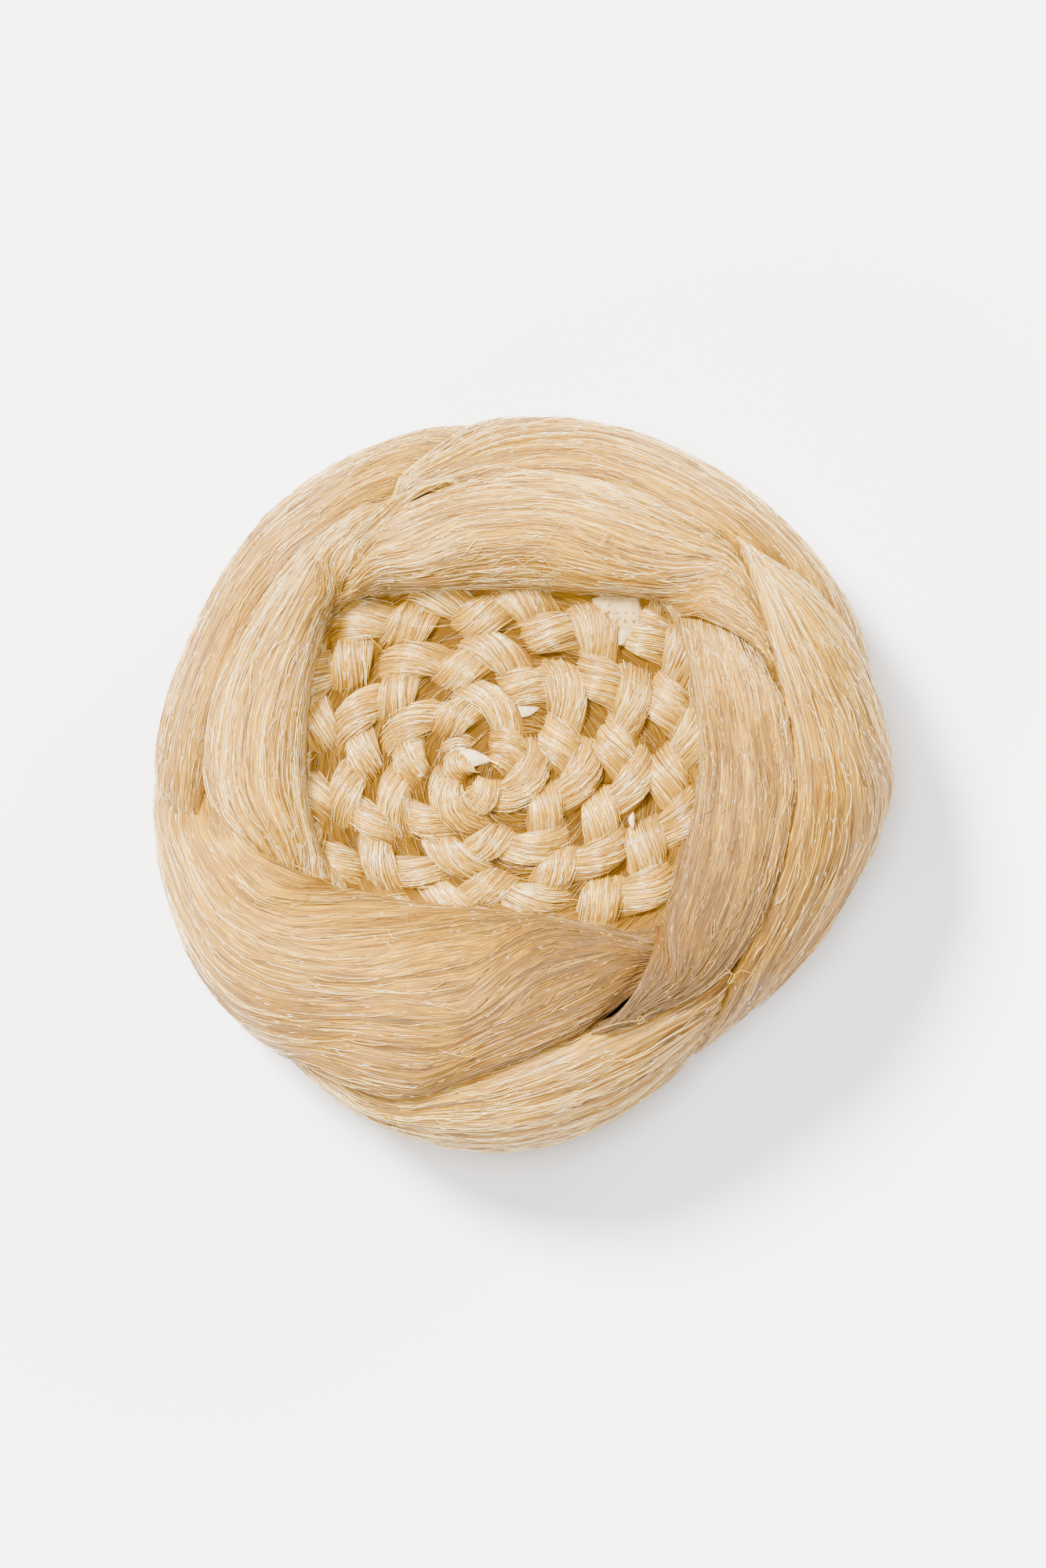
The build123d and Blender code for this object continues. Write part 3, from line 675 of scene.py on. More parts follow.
def lock_fibres(lock, count, stations, spans, heights, tones, sway, seed):
    """Paths of fibres on a lock, each a stretch of it, with its ends tucked under the skin."""
    generator = np.random.default_rng(seed)
    span = generator.uniform(*spans, count) / lock.length
    start = generator.uniform(-0.04, 1.0, count) - span * generator.uniform(0.1, 0.6, count)
    start = np.clip(start, 0.0, 1.0 - np.minimum(span, 0.98))
    across = generator.uniform(0.0, 1.0, count)
    t = np.linspace(0, 1, stations)[None]
    along = start[:, None] + span[:, None] * t
    drift = generator.normal(0, sway, count)[:, None] / lock.width
    bend = generator.normal(0, 0.5 * sway, count)[:, None] / lock.width
    phase = generator.uniform(0, 2 * math.pi, count)[:, None]
    weave = across[:, None] + drift * (t - 0.5) + bend * np.sin(phase + t * 5.0)
    weave = np.clip(weave, 0.0, 1.0)
    place, sink = lock.at(along, weave)
    height = generator.uniform(*heights, count)[:, None] * np.sin(math.pi * t) ** 0.6
    tuck = TUCK * np.abs(2 * t - 1) ** 6
    ridge = lock.ridges(along, weave)
    depth = sink - ridge - height + tuck
    paths = on_skin(place, depth)
    tone = np.clip(generator.normal(*tones, count), 0, 1)
    # The lock's painted light and shade along it are added to each fibre's own tone.
    tone = tone[:, None] + 0.06 * np.sin(phase + 9 * t) + lock.tone(along, weave)
    return paths, tone, lock_shade(sink), span * lock.length


def join_fibres(name, groups, radius):
    """One mesh of several groups of fibres that have the same number of stations."""
    paths = np.concatenate([g[0] for g in groups])
    tones = np.concatenate([g[1] for g in groups])
    shades = np.concatenate([g[2] for g in groups])
    spans = np.concatenate([g[3] for g in groups])
    n, m = paths.shape[:2]
    taper = 1 - 0.75 * np.abs(np.linspace(-1, 1, m)) ** 5
    radii = radius * random.uniform(0.7, 1.25, n)[:, None] * taper[None]
    return tubes(name, paths, radii, tones, shades, spans)


# Materials


class Nodes:
    """A short way to add and join a material's nodes."""

    def __init__(self, name):
        self.material = bpy.data.materials.new(name)
        self.material.use_nodes = True
        self.tree = self.material.node_tree
        self.shader = self.tree.nodes["Principled BSDF"]

    def add(self, kind, **settings):
        node = self.tree.nodes.new(kind)
        for key, value in settings.items():
            setattr(node, key, value)
        return node

    def link(self, source, target):
        self.tree.links.new(source, target)

    def scaled(self, source, scale):
        node = self.add("ShaderNodeMapping")
        node.inputs["Scale"].default_value = scale
        self.link(source, node.inputs["Vector"])
        return node.outputs["Vector"]

    def noise(self, vector, scale, detail=2.0, roughness=0.5):
        node = self.add("ShaderNodeTexNoise")
        node.inputs["Scale"].default_value = scale
        node.inputs["Detail"].default_value = detail
        node.inputs["Roughness"].default_value = roughness
        self.link(vector, node.inputs["Vector"])
        return node.outputs["Fac"]

    def math(self, operation, a, b):
        node = self.add("ShaderNodeMath", operation=operation)
        for socket, value in zip(node.inputs, (a, b)):
            if isinstance(value, (int, float)):
                socket.default_value = value
            else:
                self.link(value, socket)
        return node.outputs[0]

    def ramp(self, factor, stops):
        node = self.add("ShaderNodeValToRGB")
        elements = node.color_ramp.elements
        while len(elements) < len(stops):
            elements.new(0.5)
        for element, (position, colour) in zip(elements, stops):
            element.position = position
            element.color = (*colour, 1)
        self.link(factor, node.inputs["Fac"])
        return node.outputs["Color"]

    def mix(self, factor, a, b, blend="MIX"):
        node = self.add("ShaderNodeMix", data_type="RGBA", blend_type=blend)
        if isinstance(factor, (int, float)):
            node.inputs[0].default_value = factor
        else:
            self.link(factor, node.inputs[0])
        for socket, value in zip(node.inputs[6:8], (a, b)):
            if isinstance(value, tuple):
                socket.default_value = (*value, 1)
            else:
                self.link(value, socket)
        return node.outputs[2]

    def place(self):
        return self.add("ShaderNodeTexCoord").outputs["Object"]

    def total(self, a, share, b, other_share):
        return self.math("ADD", self.math("MULTIPLY", a, share), self.math("MULTIPLY", b, other_share))

    def attribute(self, name):
        return self.add("ShaderNodeAttribute", attribute_name=name).outputs["Fac"]

    def feed(self, socket, source):
        self.link(source, self.shader.inputs[socket])

    def set(self, **values):
        """Constants of the shader, by the names of its sockets with underscores for spaces."""
        for name, value in values.items():
            self.shader.inputs[name.replace("_", " ")].default_value = value

    def bump(self, height, strength, distance):
        node = self.add("ShaderNodeBump")
        node.inputs["Strength"].default_value = strength
        node.inputs["Distance"].default_value = distance
        self.link(height, node.inputs["Height"])
        self.feed("Normal", node.outputs["Normal"])


# Linear colours of the hair, from its shaded roots to its palest fibres, and the near-white of short
# fibres that are painted highlights
DEEP = (0.11, 0.046, 0.006)
TAN = (0.25, 0.110, 0.010)
GOLD = (0.50, 0.248, 0.017)
CREAM = (0.78, 0.450, 0.050)
PALE = (0.96, 0.760, 0.320)
GLINT = (1.00, 0.940, 0.800)
SHEEN = (1.00, 0.870, 0.640)
HAIR = [DEEP, TAN, GOLD, CREAM, PALE]
# Painted shade: the hair under the plait is much darker, for the shade between the plait's turns.
BED_HAIR_PAINTED_SHADE = [(0.060, 0.025, 0.002), (0.110, 0.048, 0.004), (0.190, 0.088, 0.006), (0.300, 0.150, 0.012)]


def streaked_hair(name, colours, shine):
    """Hair seen as a mass: streaks along it at the scales of fibres and of small clumps."""
    n = Nodes(name)
    uv = n.add("ShaderNodeUVMap", uv_map="fibre").outputs["UV"]
    tone = n.attribute("tone")
    fibres = n.noise(n.scaled(uv, (0.14, 5.0, 1)), 1.0, 3.0, 0.7)
    clumps = n.noise(n.scaled(uv, (0.04, 0.60, 1)), 1.0, 2.0, 0.5)
    mixed = n.total(fibres, 0.72, clumps, 0.28)
    # The tone values shift the colour, painted light and shade along the lock among them.
    mixed = n.math("ADD", mixed, n.math("MULTIPLY", n.math("SUBTRACT", tone, 0.5), 0.30))
    colour = n.ramp(mixed, list(zip((0.40, 0.49, 0.57, 0.68), colours)))
    # Painted shade: the colour is darkened towards the deepest colour where the shade values are high.
    n.feed("Base Color", n.mix(n.math("MULTIPLY", n.attribute("shade"), 0.55), colour, colours[0]))
    n.feed("Roughness", n.math("MAXIMUM", n.math("SUBTRACT", 1.0, tone), 0.50))
    n.bump(fibres, 0.7, 0.00015)
    tangent = n.add("ShaderNodeTangent", direction_type="UV_MAP", uv_map="fibre")
    n.feed("Tangent", tangent.outputs["Tangent"])
    n.set(Anisotropic=0.75, Anisotropic_Rotation=0.25, IOR=1.5)
    n.set(Specular_IOR_Level=shine, Specular_Tint=(*SHEEN, 1))
    return n.material


def fibre_hair(name, colours):
    """Single fibres, each with its own tone and any painted light and shade. Dark ones are more matt."""
    n = Nodes(name)
    tone = n.attribute("tone")
    colour = n.ramp(tone, list(zip((0.0, 0.18, 0.45, 0.75, 1.0), colours)))
    # Painted shade: the colour is darkened towards the ramp's second colour where the shade values are
    # high.
    n.feed("Base Color", n.mix(n.math("MULTIPLY", n.attribute("shade"), 0.45), colour, colours[1]))
    matt = n.math("SUBTRACT", 0.60, n.math("MULTIPLY", tone, 0.80))
    n.feed("Roughness", n.math("MAXIMUM", matt, 0.22))
    n.set(IOR=1.60, Specular_IOR_Level=1.0, Specular_Tint=(*SHEEN, 1))
    return n.material


def hot_glue(name):
    n = Nodes(name)
    place = n.place()
    cloud = n.noise(place, 500.0, 2.0, 0.5)
    n.feed("Base Color", n.ramp(cloud, [(0.3, (0.48, 0.33, 0.13)), (0.7, (0.66, 0.51, 0.28))]))
    n.set(Roughness=0.25)
    return n.material


PIT_PITCH = 1.38


def plain_cloth(name):
    """Moulded non-woven cloth of the backing, with rows of small pits."""
    n = Nodes(name)
    place = n.place()
    felt = n.noise(place, 900.0, 4.0, 0.7)
    colour = n.ramp(felt, [(0.3, (0.40, 0.25, 0.08)), (0.7, (0.54, 0.37, 0.15))])
    pits = n.add("ShaderNodeTexVoronoi")
    pits.inputs["Scale"].default_value = 1 / (PIT_PITCH * MM)
    pits.inputs["Randomness"].default_value = 0.12
    n.link(place, pits.inputs["Vector"])
    # Painted shade: the colour darkens towards the middle of each pit.
    rim = n.ramp(pits.outputs["Distance"], [(0.17, (0.45, 0.30, 0.13)), (0.27, (1.0, 1.0, 1.0))])
    n.feed("Base Color", n.mix(1.0, colour, rim, "MULTIPLY"))
    n.bump(n.total(pits.outputs["Distance"], 0.6, felt, 0.4), 0.7, 0.0004)
    n.set(Roughness=0.92)
    return n.material


def comb_plastic(name):
    """Plain plastic with faint clouds and fine scratches."""
    n = Nodes(name)
    place = n.place()
    cloud = n.noise(place, 260.0, 3.0, 0.6)
    n.feed("Base Color", n.ramp(cloud, [(0.35, (0.62, 0.47, 0.28)), (0.65, (0.74, 0.60, 0.39))]))
    n.bump(n.noise(place, 2400.0, 2.0, 0.5), 0.12, 0.0001)
    n.set(Roughness=0.28)
    return n.material


mass_hair = streaked_hair("hair_mass", HAIR[:4], 0.3)
# Painted shade: the hair under the plait, dark and nearly without shine.
shaded_hair = streaked_hair("hair_under_plait_painted_shade", BED_HAIR_PAINTED_SHADE, 0.02)
single_hair = fibre_hair("hair_fibres", HAIR)
# Painted highlights: short fibres whose colours run up to near white.
glint_hair = fibre_hair("hair_glints", [GOLD, CREAM, PALE, GLINT, GLINT])


def dress(thing, material):
    thing.data.materials.clear()
    thing.data.materials.append(material)
    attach(thing, "root")


def make_locks():
    glints = []
    for number, key in enumerate(RAILS):
        name = f"lock_{key}"
        lock = Lock(key, number)
        along = np.linspace(0, 1, GRID_ALONG)[:, None] + np.zeros((1, GRID_ACROSS))
        across = np.zeros((GRID_ALONG, 1)) + np.linspace(0, 1, GRID_ACROSS)[None]
        top = on_skin(lock.place, lock.sink - lock.ridges(along, across))
        under = under_side(lock.place, top)
        uv = np.stack([along * lock.length, across * lock.width + 40 * number], axis=-1)
        # Painted shade in the grooves, and painted light and shade along the lock, go into the body's
        # values.
        values = {"shade": lock_shade(lock.sink), "tone": 0.5 + 0.5 * lock.tone(along, across)}
        body = sheet_solid(f"{name}_body", top, under, values, uv)
        dress(body, mass_hair)
        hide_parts(name)
        seed = 1000 + 10 * number
        groups = [lock_fibres(lock, *kind, seed + i) for i, kind in enumerate(LOCK_FIBRES)]
        dress(join_fibres(f"{name}_fibres", groups, FIBRE_RADIUS), single_hair)
        glints.append(lock_fibres(lock, *LOCK_GLINTS, seed + len(LOCK_FIBRES)))
    dress(join_fibres("hair_glints", glints, GLINT_RADIUS), glint_hair)


def coil_radius(turns):
    return PLAIT_REACH * np.interp(turns, *COIL_CURVE)


# Room on each side of the plait: at its outer turn, at its inner end and at most, and what is added to it
OUTER_TURN_ROOM = 5.6
INNER_END_ROOM = 4.4
MOST_ROOM = 6.0
ROOM_OVERLAP = 0.05


def plait_room(turns):
    """Half the plait's width, and how far its middle moves outwards, so that it fills the room it has."""
    here = coil_radius(turns)
    outer = np.where(turns >= 1, (coil_radius(turns - 1) - here) / 2, OUTER_TURN_ROOM)
    inner = np.where(turns <= PLAIT_TURNS - 1, (here - coil_radius(turns + 1)) / 2,
                     np.minimum(INNER_END_ROOM, here))
    outer = np.minimum(outer, MOST_ROOM)
    inner = np.minimum(inner, MOST_ROOM)
    return (outer + inner) / 2 + ROOM_OVERLAP, (outer - inner) / 2


def coil_length():
    """Turns and lengths along the plait, as arrays."""
    turns = np.linspace(0, PLAIT_TURNS, 1200)
    radius = coil_radius(turns)
    steps = np.diff(turns) * 2 * math.pi * (radius[1:] + radius[:-1]) / 2
    return turns, np.concatenate([[0], np.cumsum(steps)])


COIL_TURNS, COIL_LENGTHS = coil_length()

# Stretch of the plait that its strands take up, in millimetres along it
STRAND_FROM = 0.5
STRAND_TO = COIL_LENGTHS[-1] - 1.0

# A strand's path and section, as shares of the plait's half width and half height, and how far it rolls
# over (degrees) and its fibres turn round it (radians)
STRAND_SWING = 0.57
STRAND_RISE = 0.42
STRAND_HALF_WIDTH = 0.71
STRAND_HALF_HEIGHT = 0.46
STRAND_ROLL = 42.0
STRAND_TWIST = 0.7

# At the coil's inner end the strands taper over a length and drop
PLAIT_END = 7.0
PLAIT_END_DROP = 2.0


def strand_phase(length, number):
    return 2 * math.pi * (PLAIT_PHASE / FULL_TURN + length / PLAIT_PERIOD + number / 3)


def plait_point(length, number, angle, lift):
    """Points on a strand's surface: angle runs round its section from its outer edge over the top.

    From each edge a strand crosses over the top to the middle, and rolls over as it goes.
    """
    turns = np.interp(length, COIL_LENGTHS, COIL_TURNS)
    half_width, shift = plait_room(turns)
    half_height = PLAIT_THICKNESS / 2
    phase = strand_phase(length, number)
    x = STRAND_SWING * half_width * np.sin(phase)
    z = -STRAND_RISE * half_height * np.sin(2 * phase)
    end = np.clip((COIL_LENGTHS[-1] - length) / PLAIT_END, 0, 1)
    size = np.sqrt(np.maximum(1 - (1 - end) ** 2, 0.02))
    wide = (STRAND_HALF_WIDTH * half_width * size + lift) * np.cos(angle)
    high = (STRAND_HALF_HEIGHT * half_height * size + lift) * np.sin(angle)
    roll = -math.radians(STRAND_ROLL) * np.cos(phase - math.pi / 4)
    across = x + wide * np.cos(roll) - high * np.sin(roll)
    up = z + wide * np.sin(roll) + high * np.cos(roll)
    a = np.radians(PLAIT_START - FULL_TURN * turns)
    radius = coil_radius(turns) + shift
    x = PLAIT_CENTRE[0] + radius * np.cos(a)
    y = PLAIT_CENTRE[1] + radius * np.sin(a)
    middle = dome_height(x, y, SEAT_GAP) + half_height - PLAIT_END_DROP * (1 - end) ** 2
    return np.stack([x + across * np.cos(a), y + across * np.sin(a), middle + up], axis=-1)


# A strand's mesh, and its map across in millimetres for each radian
STRAND_STEP = 0.8
STRAND_SIDES = 18
STRAND_MAP = 2.2

# The plait is in full light from this height up and in full shade this much lower
PLAIT_LIT_HEIGHT = 38.2
PLAIT_SHADE_DEPTH = 4.0

# A strand is highest at this share of its period, and again half a period later
CREST_PHASE = 0.375

PLAIT_FIBRES = 2150
PLAIT_GLINTS = 260
TALL_SHARE = 0.06        # share of the plait's fibres that stand up further
TALL_STAND = 3.0


def fibre_twist(length, number):
    """How far fibres have turned round a strand: inwards over its outer leaves, outwards over others."""
    return -STRAND_TWIST * np.cos(strand_phase(length, number) - math.pi / 4)


def twist_from(centre, run, number):
    """How far fibres have turned since their middles."""
    return fibre_twist(run, number) - fibre_twist(centre[:, None], number)


def plait_shade(height):
    return np.clip((PLAIT_LIT_HEIGHT - height) / PLAIT_SHADE_DEPTH, 0, 1)


def leaf_places(generator, number, count, spans, spread):
    """Middles and lengths of fibres that lie over the crests of a strand's leaves."""
    passes = generator.integers(0, int(STRAND_TO / (PLAIT_PERIOD / 2)) + 3, count)
    crest = (CREST_PHASE + 0.5 * passes - number / 3 - PLAIT_PHASE / FULL_TURN) * PLAIT_PERIOD
    span = generator.uniform(*spans, count)
    return crest + generator.normal(0, spread, count), span


def make_strand(number):
    """One strand of the plait."""
    lengths = np.linspace(STRAND_FROM, STRAND_TO, int(STRAND_TO / STRAND_STEP))
    angles = np.linspace(0, 2 * math.pi, STRAND_SIDES, endpoint=False)
    run, angle = np.meshgrid(lengths, angles, indexing="ij")
    across = (angle - fibre_twist(run, number)) * STRAND_MAP
    points = plait_point(run, number, angle, waves(run, across, 1.0, (1.9, 1.3), 0.12, 300 + number))
    index = np.arange(run.size).reshape(run.shape)
    quads = ring_quads(index)
    faces = np.concatenate([quads.ravel(), index[0][::-1], index[-1]])
    sizes = np.array([4] * len(quads) + [STRAND_SIDES] * 2)
    values = {"shade": plait_shade(points[..., 2]).ravel(), "tone": np.full(run.size, 0.55)}
    uv = np.stack([run, across + 20 * number], axis=-1).reshape(-1, 2)
    body = make_mesh(f"plait_strand_{number + 1}_body", points.reshape(-1, 3), faces, sizes, values, uv)
    dress(body, mass_hair)
    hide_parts(f"plait_strand_{number + 1}")


def make_strand_fibres(number):
    """Fibres on a strand's leaves, each with its ends tucked in."""
    generator = np.random.default_rng(500 + number)
    t = np.linspace(0, 1, 7)[None]
    centre, span = leaf_places(generator, number, PLAIT_FIBRES, (7, 15), 1.8)
    run = np.clip(centre[:, None] + span[:, None] * (t - 0.5), STRAND_FROM, STRAND_TO)
    angle = generator.uniform(0.03, 0.97, PLAIT_FIBRES)[:, None] * math.pi
    angle = angle + generator.normal(0, 0.12, PLAIT_FIBRES)[:, None] * (t - 0.5)
    angle = angle + twist_from(centre, run, number)
    stand = np.where(generator.uniform(0, 1, PLAIT_FIBRES) < TALL_SHARE, TALL_STAND, 1.0)
    lift = (stand * generator.uniform(0.02, 0.30, PLAIT_FIBRES))[:, None] * np.sin(math.pi * t) ** 0.6
    paths = plait_point(run, number, angle, lift - 0.15 * np.abs(2 * t - 1) ** 6)
    keep = np.ptp(run, axis=1) > 3
    tone = np.clip(generator.normal(0.56, 0.26, PLAIT_FIBRES), 0, 1)[:, None]
    # Painted light and shade: each fibre is paler in its middle over a leaf's crest and darker towards its
    # tucked ends.
    tone = tone + 0.36 * np.sin(math.pi * t) - 0.22
    group = [part[keep] for part in (paths, tone, plait_shade(paths[..., 2]), span)]
    dress(join_fibres(f"plait_strand_{number + 1}_fibres", [group], FIBRE_RADIUS), single_hair)


def make_plait_glints():
    """Short bright stretches of fibre on top of the strands, pale as painted highlights."""
    generator = np.random.default_rng(700)
    t = np.linspace(0, 1, 4)[None]
    groups = []
    for number in range(3):
        centre, span = leaf_places(generator, number, PLAIT_GLINTS, (0.7, 2.0), 2.6)
        centre = np.clip(centre, 2.0, STRAND_TO - 2.0)
        run = centre[:, None] + span[:, None] * (t - 0.5)
        angle = generator.uniform(0.15, 0.85, PLAIT_GLINTS)[:, None] * math.pi
        angle = angle + twist_from(centre, run, number)
        paths = plait_point(run, number, angle, 0.22 + 0 * run)
        tone = generator.uniform(0.6, 1.0, PLAIT_GLINTS)[:, None] + 0 * run
        groups.append((paths, tone, 0 * run, span))
    dress(join_fibres("plait_glints", groups, GLINT_RADIUS), glint_hair)


# What lies between and on the locks and the plait

# Loose hair under the plait: its height over the backing, how it rises to the locks and goes in under them
BED_HEIGHT = 6.1
BED_RISE = 1.2
BED_RISE_WIDTH = 6.0
BED_UNDER_LOCKS = 2.0
BED_MAP = 200 / FULL_TURN
BED_FIBRES = 700
BED_ROWS = 36
BED_TURNS = 121


def near_locks(azimuth, radius):
    """From 0 under the plait to 1 at the locks' inner edge."""
    return np.clip(1 - (lip_radius(azimuth) - radius) / BED_RISE_WIDTH, 0, 1) ** 2


def bed_heights(azimuth, radius):
    """Heights of the dome and of the loose hair on it."""
    a = np.radians(azimuth)
    low = dome_height(radius * np.cos(a), radius * np.sin(a), SEAT_GAP)
    lumps = waves(azimuth * BED_MAP + 0 * radius, radius, 1.0, (3.1, 2.2), 0.35, 41)
    return low, low + BED_HEIGHT + BED_RISE * near_locks(azimuth, radius) + lumps


def make_bed():
    """Loose hair under the plait, which rises to the locks round it."""
    shares = np.linspace(0.02, 1.0, BED_ROWS)
    azimuth, share = np.meshgrid(np.linspace(0, FULL_TURN, BED_TURNS), shares, indexing="ij")
    radius = share * (lip_radius(azimuth) + BED_UNDER_LOCKS)
    near = near_locks(azimuth, radius)
    low, high = bed_heights(azimuth, radius)
    uv = np.stack([azimuth * BED_MAP, radius + 300], axis=-1)
    # Painted shade: deepest under the plait, with the hair paler where it rises to the locks.
    values = {"shade": 0.6 - 0.4 * near, "tone": 0.45 + 0.35 * near}
    top = upright(azimuth, radius, high)
    bed = sheet_solid("plait_bed", top, upright(azimuth, radius, low), values, uv)
    dress(bed, shaded_hair)


def make_bed_fibres():
    """Fibres that lie on the loose hair between the plait's leaves."""
    generator = np.random.default_rng(800)
    t = np.linspace(0, 1, 5)[None]
    start = generator.uniform(15, 345, BED_FIBRES)[:, None]
    middle = np.sqrt(generator.uniform(0.02, 0.98, BED_FIBRES))[:, None] * lip_radius(start)
    span = generator.uniform(5, 11, BED_FIBRES)
    azimuth = start + np.degrees(span[:, None] / np.maximum(middle, 5)) * (t - 0.5)
    radius = middle + generator.normal(0, 1.6, BED_FIBRES)[:, None] * (t - 0.5)
    stand = generator.uniform(0.05, 0.30, BED_FIBRES)[:, None] * np.sin(math.pi * t)
    paths = upright(azimuth, radius, bed_heights(azimuth, radius)[1] + stand)
    # Painted shade: the fibres between the leaves are given dark tones and a fixed shade.
    tones = np.clip(generator.normal(0.24, 0.16, BED_FIBRES), 0, 1)[:, None] + 0 * t
    fibres = join_fibres("plait_bed_fibres", [(paths, tones, 0.3 + 0 * tones, span)], FIBRE_RADIUS)
    dress(fibres, single_hair)


# Patch of the backing's cloth beside the start of the plait: corners in pixels
CLOTH_PATCH = [(752, 762), (812, 756), (826, 800), (796, 826), (770, 812)]
CLOTH_PATCH_HEIGHT = 37.4
CLOTH_PATCH_FALL = 1.2
CLOTH_PATCH_THICKNESS = 1.2


def make_cloth_patch(material):
    corners = np.array([pixel_point(*p) for p in CLOTH_PATCH])
    middle = corners.mean(0)
    share = np.linspace(0.02, 1.0, 8)[:, None, None]
    ring = np.concatenate([corners, corners[:1]])
    steps = np.linspace(0, len(corners), 41)
    edge = np.stack([np.interp(steps, np.arange(len(ring)), ring[:, k]) for k in (0, 1)], axis=-1)
    flat = middle + share * (edge[None] - middle)
    height = CLOTH_PATCH_HEIGHT - CLOTH_PATCH_FALL * share[..., 0] ** 2
    height = height + 0.25 * np.sin(flat[..., 0] * 1.1)
    top = np.concatenate([flat, height[..., None]], axis=-1)
    under = top - np.array([0.0, 0.0, CLOTH_PATCH_THICKNESS])
    patch = sheet_solid("backing_patch", top, under, {"shade": 0 * height}, flat)
    dress(patch, material)


# Drops of hot glue: centre in pixels, half sizes in pixels, height
GLUE = [
    (792, 812, 9, 11, 36.6), (671, 903, 17, 12, 36.6), (600, 968, 23, 12, 37.1), (668, 1024, 18, 20, 36.3),
    (537, 986, 5, 6, 37.3), (806, 1046, 4, 10, 37.6),
]
GLUE_THICKNESS = 0.9
GLUE_ROWS = 14
GLUE_TURNS = 22


def make_glue(material):
    """Flat uneven drops, in one mesh."""
    points = []
    faces = []
    sizes = []
    tilt = np.linspace(0.02, math.pi - 0.02, GLUE_ROWS)[:, None]
    turn = np.linspace(0, 2 * math.pi, GLUE_TURNS, endpoint=False)[None]
    for number, (px, py, wide, high, level) in enumerate(GLUE):
        x0, y0 = pixel_point(px, py)
        swell = 1 + 0.14 * np.sin(3 * turn + number) * np.sin(tilt)
        swell = swell + 0.05 * np.sin(5 * turn + 2 * number + 3 * tilt)
        x = x0 + wide * PIXEL * swell * np.sin(tilt) * np.cos(turn)
        y = y0 + high * PIXEL * swell * np.sin(tilt) * np.sin(turn)
        z = level + GLUE_THICKNESS / 2 * swell * np.cos(tilt) + 0 * turn
        points.append(np.stack([x, y, z], axis=-1).reshape(-1, 3))
        index = np.arange(x.size).reshape(x.shape) + number * x.size
        quads = ring_quads(index)[:, [0, 3, 2, 1]]
        faces += [quads.ravel(), index[0], index[-1][::-1]]
        sizes += [4] * len(quads) + [GLUE_TURNS] * 2
    points = np.concatenate(points)
    values = {"shade": 0 * points[:, 0]}
    glue = make_mesh("glue_drops", points, np.concatenate(faces), np.array(sizes), values, points[:, :2])
    dress(glue, material)


# Stray hairs: pixels along each, and how far it stands up in its middle
STRAYS = [
    ([(420, 712), (452, 684), (487, 655)], 1.4),
    ([(487, 655), (492, 672), (486, 690)], 0.8),
    ([(460, 803), (478, 818), (497, 838)], 1.3),
    ([(516, 794), (540, 801), (590, 797), (640, 787)], 1.2),
    ([(757, 697), (764, 682), (772, 690), (766, 698), (778, 679), (785, 688)], 0.9),
    ([(766, 676), (772, 684), (781, 700)], 0.7),
    ([(915, 1246), (928, 1238), (936, 1244), (930, 1250), (942, 1236), (962, 1241)], 1.0),
    ([(924, 1232), (931, 1240), (927, 1252), (938, 1249)], 1.1),
    ([(745, 1318), (775, 1306), (800, 1300), (815, 1298), (832, 1287)], 0.8),
    ([(809, 1302), (816, 1293), (821, 1300), (813, 1303), (819, 1296)], 1.0),
    ([(378, 1102), (402, 1113), (428, 1128)], 1.0),
    ([(560, 1335), (585, 1343), (612, 1345)], 0.9),
    ([(640, 812), (662, 800), (684, 804)], 0.8),
    ([(838, 742), (868, 751), (896, 772)], 0.8),
    ([(700, 1150), (728, 1146), (758, 1152)], 0.9),
    ([(486, 1030), (498, 1046), (500, 1066)], 0.8),
    ([(1020, 742), (1040, 752), (1052, 770)], 0.7),
]
STRAY_RADIUS = 0.059
STRAY_STATIONS = 25
STRAY_TONE = 0.75


def make_strays():
    t = np.linspace(0, 1, STRAY_STATIONS)
    paths = []
    for points, stand in STRAYS:
        flat = np.array([pixel_point(*p) for p in points])
        xy = smooth_path(np.linspace(0, 1, len(points)), flat, t)
        z = hair_height(xy[:, 0], xy[:, 1]) + 0.15 + stand * np.sin(math.pi * t) ** 0.8
        paths.append(np.concatenate([xy, z[:, None]], axis=-1))
    paths = np.array(paths)
    count = len(paths)
    radii = STRAY_RADIUS * np.ones((count, 1)) * (1 - 0.5 * np.abs(2 * t - 1) ** 4)[None]
    tones = np.full((count, STRAY_STATIONS), STRAY_TONE)
    strays = tubes("stray_hairs", paths, radii, tones, 0 * tones, np.full(count, 8.0))
    dress(strays, single_hair)


# Floor, camera and light, with lengths in metres
FLOOR_SIZE = 14.0
FLOOR_DROP = 0.0002
CAMERA_DISTANCE = 2.5
WORLD_STRENGTH = 0.16

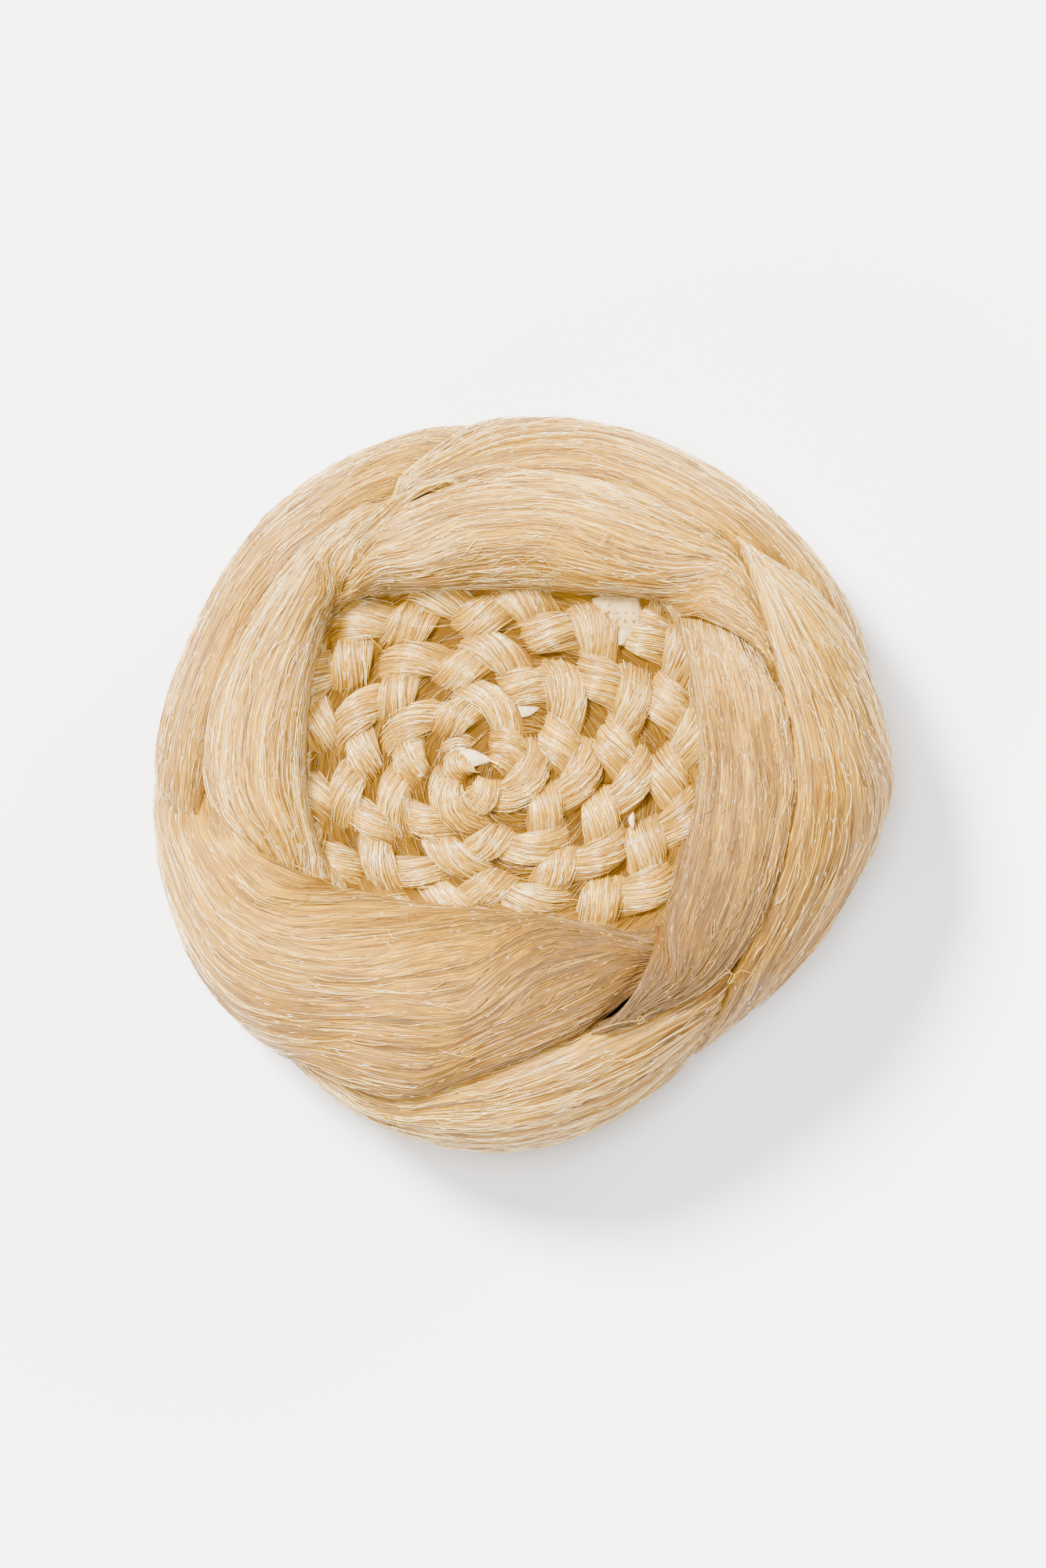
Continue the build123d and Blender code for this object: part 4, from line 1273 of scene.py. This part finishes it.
# Wide even lights: the place from which each shines at the bun, its spread in degrees, its strength
LIGHTS = {
    "key": ((-0.15, 0.16, 0.28), 15, 16.5),
    "top_fill": ((-0.03, 0.03, 0.40), 17, 4.6),
    "right_fill": ((0.22, 0.24, 0.20), 15, 3.0),
    "left_fill": ((-0.27, -0.22, 0.25), 14, 1.5),
    "low_fill": ((0.30, -0.28, 0.14), 21, 1.0),
}


def make_floor():
    bpy.ops.mesh.primitive_plane_add(size=FLOOR_SIZE, location=(0, 0, -FLOOR_DROP))
    floor = bpy.context.object
    floor.name = "floor"
    n = Nodes("floor_white")
    n.set(Base_Color=(0.95, 0.95, 0.95, 1), Roughness=0.9)
    floor.data.materials.append(n.material)


def make_lights():
    world = bpy.data.worlds.new("studio")
    world.use_nodes = True
    background = world.node_tree.nodes["Background"]
    background.inputs["Color"].default_value = (1.0, 1.0, 1.0, 1)
    background.inputs["Strength"].default_value = WORLD_STRENGTH
    bpy.context.scene.world = world
    for name, (place, spread, strength) in LIGHTS.items():
        light = bpy.data.lights.new(name, "SUN")
        light.angle = math.radians(spread)
        light.energy = strength
        thing = bpy.data.objects.new(name, light)
        thing.location = place
        x, y, z = place
        thing.rotation_euler = (math.acos(z / math.hypot(x, y, z)), 0, math.atan2(x, -y))
        bpy.context.scene.collection.objects.link(thing)


def make_camera():
    """A camera straight above the bun, which takes in the photograph's width at the bun's waist."""
    data = bpy.data.cameras.new("camera")
    data.sensor_fit = "HORIZONTAL"
    data.sensor_width = 36.0
    data.lens = data.sensor_width * CAMERA_DISTANCE / (IMAGE_WIDTH * PIXEL * MM)
    data.clip_end = 20.0
    camera = bpy.data.objects.new("camera", data)
    camera.location = (0, 0, CAMERA_DISTANCE + WAIST_HEIGHT * MM)
    bpy.context.scene.collection.objects.link(camera)
    bpy.context.scene.camera = camera


make_locks()
for strand in range(3):
    make_strand(strand)
    make_strand_fibres(strand)
make_plait_glints()
cloth = plain_cloth("backing_cloth")
plastic = comb_plastic("comb_plastic")
for node, material in (("backing", cloth), ("comb", plastic)):
    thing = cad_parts[node]
    thing.data.materials.clear()
    thing.data.materials.append(material)
make_bed()
make_bed_fibres()
make_cloth_patch(cloth)
make_glue(hot_glue("glue"))
make_strays()
make_floor()
make_lights()
make_camera()
